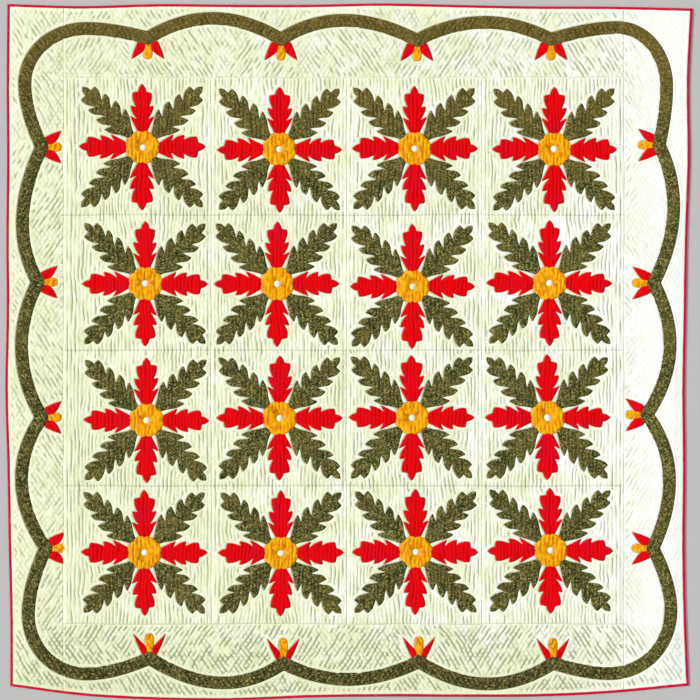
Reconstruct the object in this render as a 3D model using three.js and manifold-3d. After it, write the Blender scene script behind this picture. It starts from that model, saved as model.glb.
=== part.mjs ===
// Applique quilt, laid flat, in millimetres: +X to the right, +Y to the head of the quilt, +Z up from the
// surface it lies on. A white quilted body carries sixteen blocks of green leaves, red petals and gold
// rosettes, and a green vine with buds runs round the border.
import * as THREE from "three";
import { mergeVertices } from "three/addons/utils/BufferGeometryUtils.js";
import Module from "manifold-3d";

const wasm = await Module();
wasm.setup();

// Driving sizes of the quilt, measured from the middle of its field of blocks.
const HALF_WIDTH = 1042;
const HALF_LENGTH = 1061;
const BLOCK_PITCH = 415;
const BLOCKS_A_SIDE = 4;
const CLEARANCE = 0.3;

// Thickness of the quilted body: puffed over a block and along the border, drawn down at the seams, thin at
// the bound edge. A rim runs on under the binding and laps back into the body.
const BLOCK_LEVEL = 6.4;
const SEAM_LEVEL = 4.6;
const SEAM_HALF_WIDTH = 10;
const BORDER_CROWN = 6.2;
const BORDER_CROWN_INSET = 80;
const RIM_LEVEL = 3.7;
const RIM_REACH = 38;
const RIM_LAP = 4;

// Seams between the field of blocks and the border strips.
const BORDER_SEAM = { left: -868, right: 850, bottom: -838, top: 838 };

// How far each bound edge sways out past its straight line, at even steps: left and right from the head
// down, top and bottom from the left.
const EDGE_SWAY = {
  left: [0, 2, 1, 3, 2, 6, 0, -4, -9, -9],
  right: [19, 8, 10, 2, -2, -6, -4, -6, -2, 8],
  top: [3, -3, 3, 1, 1, 5, 0, -4, -5, -10],
  bottom: [-34, -4, 9, 11, 2, -1, 0, -1, -12, -34],
};

// How each block lies, from the top row down and from the left: its rise over the usual level, and its tilt
// in mm a metre.
const MM_A_METRE = 1000;
const BLOCK_LIE = [
  { row: 1, rise: [0.4, 0.2, 0.5, 0.6], tiltX: [-2, 1, -1, 3], tiltY: [2, 1, 2, 2] },
  { row: 2, rise: [0.3, -0.2, 0.1, 0.5], tiltX: [2, -1, 1, 4], tiltY: [-1, 1, -1, 0] },
  { row: 3, rise: [0.5, 0.7, 0.8, 0.3], tiltX: [1, 4, -4, 2], tiltY: [1, -2, -2, 1] },
  { row: 4, rise: [0.8, 1.0, 0.6, 0.7], tiltX: [-3, -3, -3, 3], tiltY: [-4, -4, -2, -3] },
];

// Soft swells of the border where the quilt doesn't lie quite flat: a fold at the foot, a lifted right side
// and corners.
const SWELLS = [
  { x: -400, y: -960, rise: 2.2, reach: 160 },
  { x: 930, y: 420, rise: 2.4, reach: 240 },
  { x: 930, y: -360, rise: 1.8, reach: 200 },
  { x: -1000, y: -960, rise: 2.6, reach: 260 },
  { x: 1000, y: -960, rise: 2.8, reach: 260 },
  { x: -930, y: 940, rise: 1.6, reach: 200 },
];

// Binding: a folded strip that shows this much on the face and on the back.
const BINDING_SHOWS = 8;
const BINDING_CLOTH = 0.6;
const BINDING_HEIGHT = 4.4;
const MITRE_TRIM = 0.15;

// Layers of cut cloth over the body, each a little above the one below.
const CLOTH = 0.5;
const LEAF_LEVEL = CLEARANCE;
const PETAL_LEVEL = LEAF_LEVEL + CLOTH + CLEARANCE;
const ROSETTE_LEVEL = PETAL_LEVEL + CLOTH + CLEARANCE;
const ROSETTE_CLOTH = 0.6;
const CUTTER_HEIGHT = 40;

// How far each hand-sewn motif sits from the middle of its block, from the top row down and from the left.
const MOTIF_SHIFT = [
  { row: 1, x: [-5, 1, 0, 14], y: [2, -5, -2, -5] },
  { row: 2, x: [4, -7, -7, -1], y: [-2, -2, -10, 0] },
  { row: 3, x: [7, 1, -9, -8], y: [-5, 1, 3, 3] },
  { row: 4, x: [2, 5, 3, 1], y: [4, 3, 6, 10] },
];

// Leaf: distances along its midrib from the block's centre, and half widths across it. The flank is where
// its outline bends between the hub and the first lobe. Each lobe is swept to the tip.
const LEAF = {
  hub: 19,
  hubHalf: 7,
  flank: { along: 90, across: 33 },
  tip: 262,
  lobes: [
    { tip: 120, reach: 46, notch: 111, waist: 23 },
    { tip: 158, reach: 42, notch: 150, waist: 18 },
    { tip: 197, reach: 36, notch: 190, waist: 16 },
    { tip: 235, reach: 29, notch: 235, waist: 12 },
  ],
};
const LEAF_HUB = { outer: 30, hole: 16.5 };

// Petal: two barbed notches, square shoulders and a pointed tip.
const PETAL = {
  hub: 18,
  hubHalf: 8,
  flank: { along: 72, across: 26 },
  tip: 193,
  lobes: [
    { tip: 96, reach: 38, notch: 87, waist: 18 },
    { tip: 128, reach: 36, notch: 126, waist: 22 },
    { tip: 166, reach: 30, notch: 170, waist: 13 },
  ],
};
const PETAL_HUB = { outer: 30, hole: 16.5 };

// Rosette: eight shallow scallops round a small hole.
const ROSETTE = { scallops: 8, crown: 51, valley: 46.5, hole: 10.5, holeSides: 6 };
const CROWN_SHARES = [0.3, 0.7];

// Vine: cusps over the outer blocks and crests between them, as distances along a side and in from its edge.
const VINE_WIDTH = 39;
const VINE_SIDES = {
  top: {
    cusps: [
      { along: -610, inset: 102 },
      { along: -202, inset: 106 },
      { along: 215, inset: 109 },
      { along: 626, inset: 106 },
    ],
    crests: [
      { along: -408, inset: 42 },
      { along: -6, inset: 48 },
      { along: 420, inset: 54 },
    ],
    bud: { reach: 64, base: 30 },
  },
  right: {
    cusps: [
      { along: 631, inset: 85 },
      { along: 208, inset: 102 },
      { along: -196, inset: 123 },
      { along: -605, inset: 104 },
    ],
    crests: [
      { along: 426, inset: 41 },
      { along: 3, inset: 52 },
      { along: -384, inset: 54 },
    ],
    bud: { reach: 64, base: 30 },
  },
  bottom: {
    cusps: [
      { along: 632, inset: 104 },
      { along: 221, inset: 109 },
      { along: -195, inset: 104 },
      { along: -605, inset: 119 },
    ],
    crests: [
      { along: 429, inset: 40 },
      { along: 9, inset: 54 },
      { along: -390, inset: 44 },
    ],
    bud: { reach: 76, base: 21 },
  },
  left: {
    cusps: [
      { along: -605, inset: 119 },
      { along: -204, inset: 107 },
      { along: 211, inset: 95 },
      { along: 625, inset: 107 },
    ],
    crests: [
      { along: -401, inset: 45 },
      { along: 3, inset: 45 },
      { along: 403, inset: 48 },
    ],
    bud: { reach: 60, base: 30 },
  },
};

// The vine's big corner turns, clockwise: where each leaves one side at its outermost point and joins the
// next side at its own.
const VINE_CORNERS = {
  top: { leave: { along: 830, inset: 70 }, join: { along: 809, inset: 62 } },
  right: { leave: { along: -794, inset: 49 }, join: { along: 804, inset: 72 } },
  bottom: { leave: { along: -797, inset: 71 }, join: { along: -807, inset: 66 } },
  left: { leave: { along: 818, inset: 55 }, join: { along: -797, inset: 73 } },
};
const CLOCKWISE = ["top", "right", "bottom", "left"];
const ARC_STEPS = 7;
const TURN_STEPS = 6;
const RUN_IN_STEPS = 3;
const RUN_IN_SWEEP = 0.58;
const TURN_FULLNESS = 0.56;

// Bud, from its cusp towards the middle of the quilt: depth along it, half widths across it. Its reach and
// base vary by side.
const BUD = {
  petalOuterDepth: 10,
  petalInner: { depth: 40, across: 11 },
  petalRootHalf: 6,
  petalTipAcross: 50,
  tongueHalf: 13.5,
  tongueStart: 12,
  tongueRound: 0.8,
  tongueTipHalf: 8,
};

// Cloth finishes.
const MUSLIN = new THREE.MeshStandardMaterial({ color: 0xecead0, roughness: 0.95, metalness: 0 });
const CRIMSON_COTTON = new THREE.MeshStandardMaterial({ color: 0xc8143c, roughness: 0.9, metalness: 0 });
const GREEN_PRINT = new THREE.MeshStandardMaterial({ color: 0x5c592d, roughness: 0.9, metalness: 0 });
const RED_COTTON = new THREE.MeshStandardMaterial({ color: 0xe00c15, roughness: 0.9, metalness: 0 });
const GOLD_COTTON = new THREE.MeshStandardMaterial({ color: 0xf1a915, roughness: 0.9, metalness: 0 });

// Solids to and from closed triangle geometry. Corners nearer than this are one corner.
const WELD_DISTANCE = 1e-4;

function solidOf(geometry) {
  const bare = geometry.clone();
  bare.deleteAttribute("normal");
  bare.deleteAttribute("uv");
  const merged = mergeVertices(bare, WELD_DISTANCE);
  const index = new Uint32Array(merged.index.array);
  return new wasm.Manifold(
    new wasm.Mesh({ numProp: 3, vertProperties: merged.attributes.position.array, triVerts: index }),
  );
}

function geometryOf(solid) {
  const mesh = solid.getMesh();
  const geometry = new THREE.BufferGeometry();
  geometry.setAttribute("position", new THREE.BufferAttribute(mesh.vertProperties, mesh.numProp));
  geometry.setIndex(new THREE.BufferAttribute(mesh.triVerts, 1));
  geometry.computeVertexNormals();
  return geometry;
}

function joined(solids) {
  return solids.reduce((whole, piece) => whole.add(piece));
}

function prism(outline, low, high, hole) {
  const clockwise = THREE.ShapeUtils.isClockWise(outline);
  const shape = new THREE.Shape(clockwise ? [...outline].reverse() : outline);
  if (hole) shape.holes.push(new THREE.Path(hole));
  const geometry = new THREE.ExtrudeGeometry(shape, { depth: high - low, bevelEnabled: false });
  return solidOf(geometry.translate(0, 0, low));
}

// Middle of each block, and of its motif.
const blockMiddles = Array.from(
  { length: BLOCKS_A_SIDE },
  (_, i) => (i - (BLOCKS_A_SIDE - 1) / 2) * BLOCK_PITCH,
);

function motifCentre(row, column) {
  const shift = MOTIF_SHIFT[row];
  return new THREE.Vector2(
    blockMiddles[column] + shift.x[column],
    blockMiddles[BLOCKS_A_SIDE - 1 - row] + shift.y[column],
  );
}

// The quilted surface: lines across the quilt, each with the level that the surface has on it.
function surfaceLines(lowSeam, highSeam, half) {
  const inner = blockMiddles.slice(1).map((middle) => middle - BLOCK_PITCH / 2);
  const shoulder = BLOCK_PITCH / 2 - SEAM_HALF_WIDTH;
  const border = (at, level) => ({ at, level, kind: "border" });
  const seam = (at) => ({ at, level: SEAM_LEVEL, kind: "seam" });
  const blockSide = (block, hand) => ({ at: blockMiddles[block] + hand * shoulder, kind: "block", block });
  const crown = half - BORDER_CROWN_INSET;
  const rim = half + RIM_REACH;
  return [
    border(-rim, RIM_LEVEL),
    border(-crown, BORDER_CROWN),
    ...[lowSeam, ...inner, highSeam].map(seam),
    ...blockMiddles.flatMap((_, block) => [blockSide(block, -1), blockSide(block, 1)]),
    border(crown, BORDER_CROWN),
    border(rim, RIM_LEVEL),
  ].sort((a, b) => a.at - b.at);
}

const columns = surfaceLines(BORDER_SEAM.left, BORDER_SEAM.right, HALF_WIDTH);
const rows = surfaceLines(BORDER_SEAM.bottom, BORDER_SEAM.top, HALF_LENGTH);

function swell(x, y) {
  return SWELLS.reduce((sum, s) => {
    const away = Math.hypot(x - s.x, y - s.y) / s.reach;
    return sum + (away < 1 ? s.rise * (1 - away * away) : 0);
  }, 0);
}

// A block is one tilted plane. A border is level along its side, and two borders meet in a mitre.
function surfaceLevel(column, row) {
  const inBorder = [column, row].filter((line) => line.kind === "border");
  if (inBorder.length) return Math.min(...inBorder.map((line) => line.level)) + swell(column.at, row.at);
  if (column.kind === "seam" || row.kind === "seam") return SEAM_LEVEL;
  const lie = BLOCK_LIE[BLOCKS_A_SIDE - 1 - row.block];
  const k = column.block;
  const alongX = (column.at - blockMiddles[k]) / MM_A_METRE;
  const alongY = (row.at - blockMiddles[row.block]) / MM_A_METRE;
  return BLOCK_LEVEL + lie.rise[k] + lie.tiltX[k] * alongX + lie.tiltY[k] * alongY;
}

// A slab between two copies of the quilted surface, or between the flat underside and one copy. Its facets
// fold towards the block corners.
function slab(lowOffset, highOffset, flatUnderside = false) {
  const wide = columns.length;
  const tall = rows.length;
  const points = [];
  for (const top of [false, true])
    for (const row of rows)
      for (const column of columns) {
        const level = surfaceLevel(column, row);
        const z = top ? level + highOffset : flatUnderside ? 0 : level + lowOffset;
        points.push(column.at, row.at, z);
      }
  const at = (i, j, top) => (top ? wide * tall : 0) + j * wide + i;
  const faces = [];
  const quad = (a, b, c, d) => faces.push(a, b, c, a, c, d);
  const nearest = (value) =>
    blockMiddles.reduce((best, m) => (Math.abs(m - value) < Math.abs(best - value) ? m : best));
  for (let j = 0; j + 1 < tall; j++)
    for (let i = 0; i + 1 < wide; i++) {
      const x = (columns[i].at + columns[i + 1].at) / 2;
      const y = (rows[j].at + rows[j + 1].at) / 2;
      const rising = (x - nearest(x)) * (y - nearest(y)) > 0;
      const ring = [
        [i, j],
        [i + 1, j],
        [i + 1, j + 1],
        [i, j + 1],
      ];
      const turned = rising ? ring : [...ring.slice(1), ring[0]];
      const upper = turned.map(([a, b]) => at(a, b, true));
      const lower = turned.map(([a, b]) => at(a, b, false));
      quad(...upper);
      quad(lower[0], lower[3], lower[2], lower[1]);
    }
  const head = tall - 1;
  for (let i = 0; i + 1 < wide; i++) {
    quad(at(i, 0, false), at(i + 1, 0, false), at(i + 1, 0, true), at(i, 0, true));
    quad(at(i + 1, head, false), at(i, head, false), at(i, head, true), at(i + 1, head, true));
  }
  const right = wide - 1;
  for (let j = 0; j + 1 < tall; j++) {
    quad(at(0, j + 1, false), at(0, j, false), at(0, j, true), at(0, j + 1, true));
    quad(at(right, j, false), at(right, j + 1, false), at(right, j + 1, true), at(right, j, true));
  }
  const geometry = new THREE.BufferGeometry();
  geometry.setAttribute("position", new THREE.BufferAttribute(new Float32Array(points), 3));
  geometry.setIndex(faces);
  return solidOf(geometry);
}

// The outline, clockwise from the top left, as the points of each side with a shared corner at both ends.
function cornerPoint(sideAcross, endAcross, sideUp, endUp, signX, signY) {
  return new THREE.Vector2(
    signX * (HALF_WIDTH + EDGE_SWAY[sideUp][endUp]),
    signY * (HALF_LENGTH + EDGE_SWAY[sideAcross][endAcross]),
  );
}

const LAST = EDGE_SWAY.top.length - 1;
const corners = {
  topLeft: cornerPoint("top", 0, "left", 0, -1, 1),
  topRight: cornerPoint("top", LAST, "right", 0, 1, 1),
  bottomRight: cornerPoint("bottom", LAST, "right", LAST, 1, -1),
  bottomLeft: cornerPoint("bottom", 0, "left", LAST, -1, -1),
};

function sidePoints(side) {
  const sway = EDGE_SWAY[side];
  const middle = [];
  for (let k = 1; k < LAST; k++) {
    const t = k / LAST;
    if (side === "top" || side === "bottom") {
      const sign = side === "top" ? 1 : -1;
      middle.push(new THREE.Vector2(HALF_WIDTH * (2 * t - 1), sign * (HALF_LENGTH + sway[k])));
    } else {
      const sign = side === "right" ? 1 : -1;
      middle.push(new THREE.Vector2(sign * (HALF_WIDTH + sway[k]), HALF_LENGTH * (1 - 2 * t)));
    }
  }
  if (side === "top") return [corners.topLeft, ...middle, corners.topRight];
  if (side === "right") return [corners.topRight, ...middle, corners.bottomRight];
  if (side === "bottom") return [corners.bottomRight, ...middle.reverse(), corners.bottomLeft];
  return [corners.bottomLeft, ...middle.reverse(), corners.topLeft];
}

const outline = CLOCKWISE.flatMap((side) => sidePoints(side).slice(0, -1));

// A closed outline moved in by a distance, with sharp mitres. The outline runs clockwise, so its inside is
// to the right.
function inset(points, distance) {
  const count = points.length;
  return points.map((point, k) => {
    const before = point.clone().sub(points[(k + count - 1) % count]).normalize();
    const after = points[(k + 1) % count].clone().sub(point).normalize();
    const normals = [before, after].map((d) => new THREE.Vector2(d.y, -d.x));
    const mitre = normals[0].clone().add(normals[1]);
    const scale = distance / (mitre.dot(normals[0]) || 1);
    return point.clone().addScaledVector(mitre, scale);
  });
}

// Quilt body: the quilted slab inside the binding, and a thin rim that the binding folds over.
function quiltBody() {
  const face = inset(outline, BINDING_SHOWS + CLEARANCE);
  const rim = inset(outline, BINDING_CLOTH + CLEARANCE);
  const rimInner = inset(outline, BINDING_SHOWS + RIM_LAP);
  const low = BINDING_CLOTH + CLEARANCE;
  const high = BINDING_HEIGHT - BINDING_CLOTH - CLEARANCE;
  const main = prism(face, -CUTTER_HEIGHT, CUTTER_HEIGHT).intersect(slab(0, 0, true));
  return main.add(prism(rim, low, high, rimInner));
}

// Binding strip of one side: a C section swept along the edge, with mitred ends.
function bindingStrip(side) {
  const start = CLOCKWISE.indexOf(side) * LAST;
  const count = outline.length;
  const inner = BINDING_CLOTH;
  const top = BINDING_HEIGHT;
  const section = [
    { inward: 0, z: 0 },
    { inward: 0, z: top },
    { inward: BINDING_SHOWS, z: top },
    { inward: BINDING_SHOWS, z: top - inner },
    { inward: inner, z: top - inner },
    { inward: inner, z: inner },
    { inward: BINDING_SHOWS, z: inner },
    { inward: BINDING_SHOWS, z: 0 },
  ];
  const rails = section.map(({ inward }) => inset(outline, inward));
  const points = [];
  for (let k = 0; k <= LAST; k++) {
    const here = (start + k) % count;
    const along = outline[(start + 1) % count].clone().sub(outline[start % count]);
    if (k > 0) along.copy(outline[here]).sub(outline[(here + count - 1) % count]);
    const trim = k === 0 ? MITRE_TRIM : k === LAST ? -MITRE_TRIM : 0;
    along.normalize().multiplyScalar(trim * Math.SQRT2);
    section.forEach(({ z }, s) => {
      const rail = rails[s][here];
      points.push(rail.x + along.x, rail.y + along.y, z);
    });
  }
  const sides = section.length;
  const faces = [];
  for (let k = 0; k < LAST; k++)
    for (let s = 0; s < sides; s++) {
      const a = k * sides + s;
      const b = k * sides + ((s + 1) % sides);
      faces.push(a, b, a + sides, b, b + sides, a + sides);
    }
  const cap = THREE.ShapeUtils.triangulateShape(
    section.map(({ inward, z }) => new THREE.Vector2(inward, z)),
    [],
  );
  for (const [a, b, c] of cap) {
    const end = LAST * sides;
    faces.push(a, b, c, end + a, end + c, end + b);
  }
  const geometry = new THREE.BufferGeometry();
  geometry.setAttribute("position", new THREE.BufferAttribute(new Float32Array(points), 3));
  geometry.setIndex(faces);
  return geometry;
}

// Half of a lobed shape, from its hub to its tip, as distances along and across.
function lobedHalf(shape) {
  const half = [
    [shape.hub, shape.hubHalf],
    [shape.flank.along, shape.flank.across],
  ];
  for (const lobe of shape.lobes) half.push([lobe.tip, lobe.reach], [lobe.notch, lobe.waist]);
  return half;
}

// Four copies of a lobed shape round a block's centre, joined by a square hub with a square hole.
function lobedCross(shape, hub, centre, turn) {
  const half = lobedHalf(shape);
  const whole = [
    ...half,
    [shape.tip, 0],
    ...half.map(([along, across]) => [along, -across]).reverse(),
  ].map(([along, across]) => new THREE.Vector2(along, across));
  const square = (radius) =>
    [0, 1, 2, 3].map((k) =>
      new THREE.Vector2(radius, 0).rotateAround(new THREE.Vector2(), turn + (k * Math.PI) / 2).add(centre),
    );
  const arms = [0, 1, 2, 3].map((k) => {
    const angle = turn + (k * Math.PI) / 2;
    const arm = whole.map((p) => p.clone().rotateAround(new THREE.Vector2(), angle).add(centre));
    return prism(arm, 0, CUTTER_HEIGHT);
  });
  return joined([prism(square(hub.outer), 0, CUTTER_HEIGHT, square(hub.hole)), ...arms]);
}

function rosetteCutter(centre) {
  const { scallops, crown, valley, hole, holeSides } = ROSETTE;
  const rim = [];
  for (let k = 0; k < scallops; k++)
    for (const share of [0, ...CROWN_SHARES]) {
      const radius = share ? crown : valley;
      const angle = ((k + share) * 2 * Math.PI) / scallops;
      rim.push(new THREE.Vector2(radius * Math.cos(angle), radius * Math.sin(angle)).add(centre));
    }
  const eye = Array.from({ length: holeSides }, (_, k) => {
    const angle = (k * 2 * Math.PI) / holeSides;
    return new THREE.Vector2(hole * Math.cos(angle), hole * Math.sin(angle)).add(centre);
  });
  return prism(rim, 0, CUTTER_HEIGHT, eye);
}

// A point of the border, from its distance along a side and in from that side's straight edge.
function onSide(side, { along, inset: depth }) {
  if (side === "top") return new THREE.Vector2(along, HALF_LENGTH - depth);
  if (side === "right") return new THREE.Vector2(HALF_WIDTH - depth, along);
  if (side === "bottom") return new THREE.Vector2(along, depth - HALF_LENGTH);
  return new THREE.Vector2(depth - HALF_WIDTH, along);
}

// A strip of the vine's width along a run of points, with rounded ends so that two strips join at a cusp.
function vineStrip(path) {
  const half = VINE_WIDTH / 2;
  const left = [];
  const right = [];
  path.forEach((point, k) => {
    const from = path[Math.max(k - 1, 0)];
    const to = path[Math.min(k + 1, path.length - 1)];
    const along = to.clone().sub(from).normalize();
    const normal = new THREE.Vector2(-along.y, along.x);
    left.push(point.clone().addScaledVector(normal, half));
    right.push(point.clone().addScaledVector(normal, -half));
  });
  const tipOf = (end, before) => {
    const along = end.clone().sub(before).normalize();
    const normal = new THREE.Vector2(-along.y, along.x);
    const reach = half * Math.SQRT1_2;
    return [reach, -reach].map((side) =>
      end.clone().addScaledVector(along, reach).addScaledVector(normal, side),
    );
  };
  const last = path.length - 1;
  const far = tipOf(path[last], path[last - 1]);
  const near = tipOf(path[0], path[1]);
  return prism([...left, ...far, ...right.reverse(), ...near], 0, CUTTER_HEIGHT);
}

function arcStrip(start, crest, end) {
  const control = crest.clone().multiplyScalar(2).sub(start.clone().add(end).multiplyScalar(0.5));
  return vineStrip(new THREE.QuadraticBezierCurve(start, control, end).getPoints(ARC_STEPS));
}

// The turn round one corner: run in from the last cusp, a quarter turn, and run out to the next side's
// first cusp.
function cornerStrip(side, nextSide) {
  const turn = VINE_CORNERS[side];
  const start = onSide(side, VINE_SIDES[side].cusps.at(-1));
  const end = onSide(nextSide, VINE_SIDES[nextSide].cusps[0]);
  const leave = onSide(side, turn.leave);
  const join = onSide(nextSide, turn.join);
  const upright = side === "right" || side === "left";
  const meet = upright ? new THREE.Vector2(leave.x, join.y) : new THREE.Vector2(join.x, leave.y);
  const runIn = start.clone().lerp(leave, RUN_IN_SWEEP);
  const runOut = end.clone().lerp(join, RUN_IN_SWEEP);
  if (upright) {
    runIn.x = leave.x;
    runOut.y = join.y;
  } else {
    runIn.y = leave.y;
    runOut.x = join.x;
  }
  const first = new THREE.QuadraticBezierCurve(start, runIn, leave).getPoints(RUN_IN_STEPS);
  const quarter = new THREE.CubicBezierCurve(
    leave,
    leave.clone().lerp(meet, TURN_FULLNESS),
    join.clone().lerp(meet, TURN_FULLNESS),
    join,
  ).getPoints(TURN_STEPS);
  const second = new THREE.QuadraticBezierCurve(join, runOut, end).getPoints(RUN_IN_STEPS);
  return vineStrip([...first, ...quarter.slice(1), ...second.slice(1)]);
}

// The bud at one cusp: two splayed petals and a round-ended tongue, all rooted under the vine.
function budPieces(side, cusp, { reach, base }) {
  const place = (depth, across) =>
    onSide(side, { along: cusp.along + across, inset: cusp.inset + depth });
  const petal = (hand) => {
    const { petalOuterDepth, petalInner, petalRootHalf, petalTipAcross } = BUD;
    return prism(
      [
        place(petalOuterDepth, hand * base),
        place(reach, hand * petalTipAcross),
        place(petalInner.depth, hand * petalInner.across),
        place(0, hand * petalRootHalf),
      ],
      0,
      CUTTER_HEIGHT,
    );
  };
  const roundAt = BUD.tongueStart + (reach - BUD.tongueStart) * BUD.tongueRound;
  const tongue = prism(
    [
      place(BUD.tongueStart, -BUD.tongueHalf),
      place(roundAt, -BUD.tongueHalf),
      place(reach, -BUD.tongueTipHalf),
      place(reach, BUD.tongueTipHalf),
      place(roundAt, BUD.tongueHalf),
      place(BUD.tongueStart, BUD.tongueHalf),
    ],
    0,
    CUTTER_HEIGHT,
  );
  return [petal(1), petal(-1), tongue];
}

function vineCutter() {
  const pieces = [];
  CLOCKWISE.forEach((side, k) => {
    const { cusps, crests, bud } = VINE_SIDES[side];
    crests.forEach((crest, c) => {
      const [start, middle, end] = [cusps[c], crest, cusps[c + 1]].map((point) => onSide(side, point));
      pieces.push(arcStrip(start, middle, end));
    });
    pieces.push(cornerStrip(side, CLOCKWISE[(k + 1) % CLOCKWISE.length]));
    for (const cusp of cusps) pieces.push(...budPieces(side, cusp, bud));
  });
  return joined(pieces);
}

// The whole quilt, moved so that the middle of its outline stands over the origin.
const quilt = new THREE.Group();
const bounds = new THREE.Box2().setFromPoints(outline);
const middle = bounds.getCenter(new THREE.Vector2());
quilt.position.set(-middle.x, -middle.y, 0);

function addPiece(name, geometry, material) {
  const mesh = new THREE.Mesh(geometry, material);
  mesh.name = name;
  quilt.add(mesh);
}

const leafLayer = slab(LEAF_LEVEL, LEAF_LEVEL + CLOTH);
const petalLayer = slab(PETAL_LEVEL, PETAL_LEVEL + CLOTH);
const rosetteLayer = slab(ROSETTE_LEVEL, ROSETTE_LEVEL + ROSETTE_CLOTH);

addPiece("quilt_body", geometryOf(quiltBody()), MUSLIN);
for (const side of CLOCKWISE) addPiece(`binding_${side}`, bindingStrip(side), CRIMSON_COTTON);
addPiece("vine", geometryOf(vineCutter().intersect(leafLayer)), GREEN_PRINT);

for (let row = 0; row < BLOCKS_A_SIDE; row++)
  for (let column = 0; column < BLOCKS_A_SIDE; column++) {
    const centre = motifCentre(row, column);
    const block = `r${row + 1}c${column + 1}`;
    const leaves = lobedCross(LEAF, LEAF_HUB, centre, Math.PI / 4).intersect(leafLayer);
    const petals = lobedCross(PETAL, PETAL_HUB, centre, 0).intersect(petalLayer);
    addPiece(`leaves_${block}`, geometryOf(leaves), GREEN_PRINT);
    addPiece(`petals_${block}`, geometryOf(petals), RED_COTTON);
    addPiece(`rosette_${block}`, geometryOf(rosetteCutter(centre).intersect(rosetteLayer)), GOLD_COTTON);
  }

export default quilt;
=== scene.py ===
# %% [markdown]
# # An applique quilt
# A quilt is two sheets of cloth with a thin filling between them, sewn through all over. This one has a top
# of sixteen white blocks and four border strips, with cut cloth shapes sewn on to it, and a crimson edge.
# The frame is the construction model: its nodes give the places and sizes that the cloth pieces here must
# keep.

# %% Load the frame
import math

import bpy
import numpy as np
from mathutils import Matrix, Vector
from mathutils.geometry import delaunay_2d_cdt


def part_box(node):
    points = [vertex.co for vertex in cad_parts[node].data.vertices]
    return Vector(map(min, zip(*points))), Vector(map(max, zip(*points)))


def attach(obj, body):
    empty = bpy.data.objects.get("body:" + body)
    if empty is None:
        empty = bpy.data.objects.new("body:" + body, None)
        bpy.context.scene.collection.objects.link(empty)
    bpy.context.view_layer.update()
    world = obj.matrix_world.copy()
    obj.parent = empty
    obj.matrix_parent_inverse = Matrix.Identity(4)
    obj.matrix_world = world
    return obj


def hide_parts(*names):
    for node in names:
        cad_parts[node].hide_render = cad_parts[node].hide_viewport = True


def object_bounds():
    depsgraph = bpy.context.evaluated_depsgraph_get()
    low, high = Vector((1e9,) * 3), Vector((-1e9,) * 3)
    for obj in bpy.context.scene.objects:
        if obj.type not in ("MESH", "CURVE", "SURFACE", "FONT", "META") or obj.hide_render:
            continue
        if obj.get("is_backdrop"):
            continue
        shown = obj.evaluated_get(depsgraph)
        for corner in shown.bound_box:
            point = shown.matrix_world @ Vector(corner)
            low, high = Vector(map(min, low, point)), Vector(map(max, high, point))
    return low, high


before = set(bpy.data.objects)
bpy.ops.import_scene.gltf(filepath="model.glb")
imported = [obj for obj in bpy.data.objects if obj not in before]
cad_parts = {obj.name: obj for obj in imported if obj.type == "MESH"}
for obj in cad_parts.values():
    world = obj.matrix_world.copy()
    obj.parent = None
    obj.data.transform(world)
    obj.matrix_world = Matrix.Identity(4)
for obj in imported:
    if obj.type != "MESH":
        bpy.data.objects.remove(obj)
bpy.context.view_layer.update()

print("nodes in the frame:", len(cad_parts))

# %% [markdown]
# ## Sizes
# Everything is worked out in millimetres in the quilt's own plane, from the middle of its field of blocks,
# and is turned to metres once, when a mesh is made. The seams say where the maker joined the blocks and the
# borders. A quilt is never quite square, so each side has a short table of how far its edge sways out, at
# even steps: the left and right sides from the head down, the top and bottom sides from the left.

# %% The quilt's plan
MM = 0.001
HALF_WIDTH = 1042
HALF_LENGTH = 1061
SEAMS_X = [-868, -415, 0, 415, 850]
SEAMS_Y = [838, 415, 0, -415, -838]
BLOCKS_A_SIDE = 4
SIDES = ["top", "right", "bottom", "left"]
LEVEL_SIDES = ("top", "bottom")
# Which way is out on each side, along Y on the level ones and along X on the others.
OUT = {"top": 1, "right": 1, "bottom": -1, "left": -1}
EDGE_SWAY = {
    "left": [0, 2, 1, 3, 2, 6, 0, -4, -9, -9],
    "right": [19, 8, 10, 2, -2, -6, -4, -6, -2, 8],
    "top": [3, -3, 3, 1, 1, 5, 0, -4, -5, -10],
    "bottom": [-34, -4, 9, 11, 2, -1, 0, -1, -12, -34],
}
# The frame stands the middle of the quilt's outline over the origin.
SHIFT_X = (max(EDGE_SWAY["left"]) - max(EDGE_SWAY["right"])) / 2
SHIFT_Y = (max(EDGE_SWAY["bottom"]) - max(EDGE_SWAY["top"])) / 2
print("shift from the field's middle to the frame's, mm:", SHIFT_X, SHIFT_Y)
head_width = 2 * HALF_WIDTH + EDGE_SWAY["left"][0] + EDGE_SWAY["right"][0]
left_length = 2 * HALF_LENGTH + EDGE_SWAY["top"][0] + EDGE_SWAY["bottom"][0]
print("quilt along its head and left side, mm:", head_width, left_length)

# %% [markdown]
# Three functions serve all that follows: a soft step from 0 to 1, smooth random hills that are always the
# same for the same seed, and a smooth curve through a table of values. The last gives the quilt's swaying
# edges.

# %% Steps, hills and edges
# Rows and columns of the table of random values. The hills repeat after that many.
NOISE_TABLE = (61, 67)


def ease(share):
    """Goes softly from 0 to 1 as share does."""
    share = np.clip(share, 0, 1)
    return share * share * (3 - 2 * share)


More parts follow.
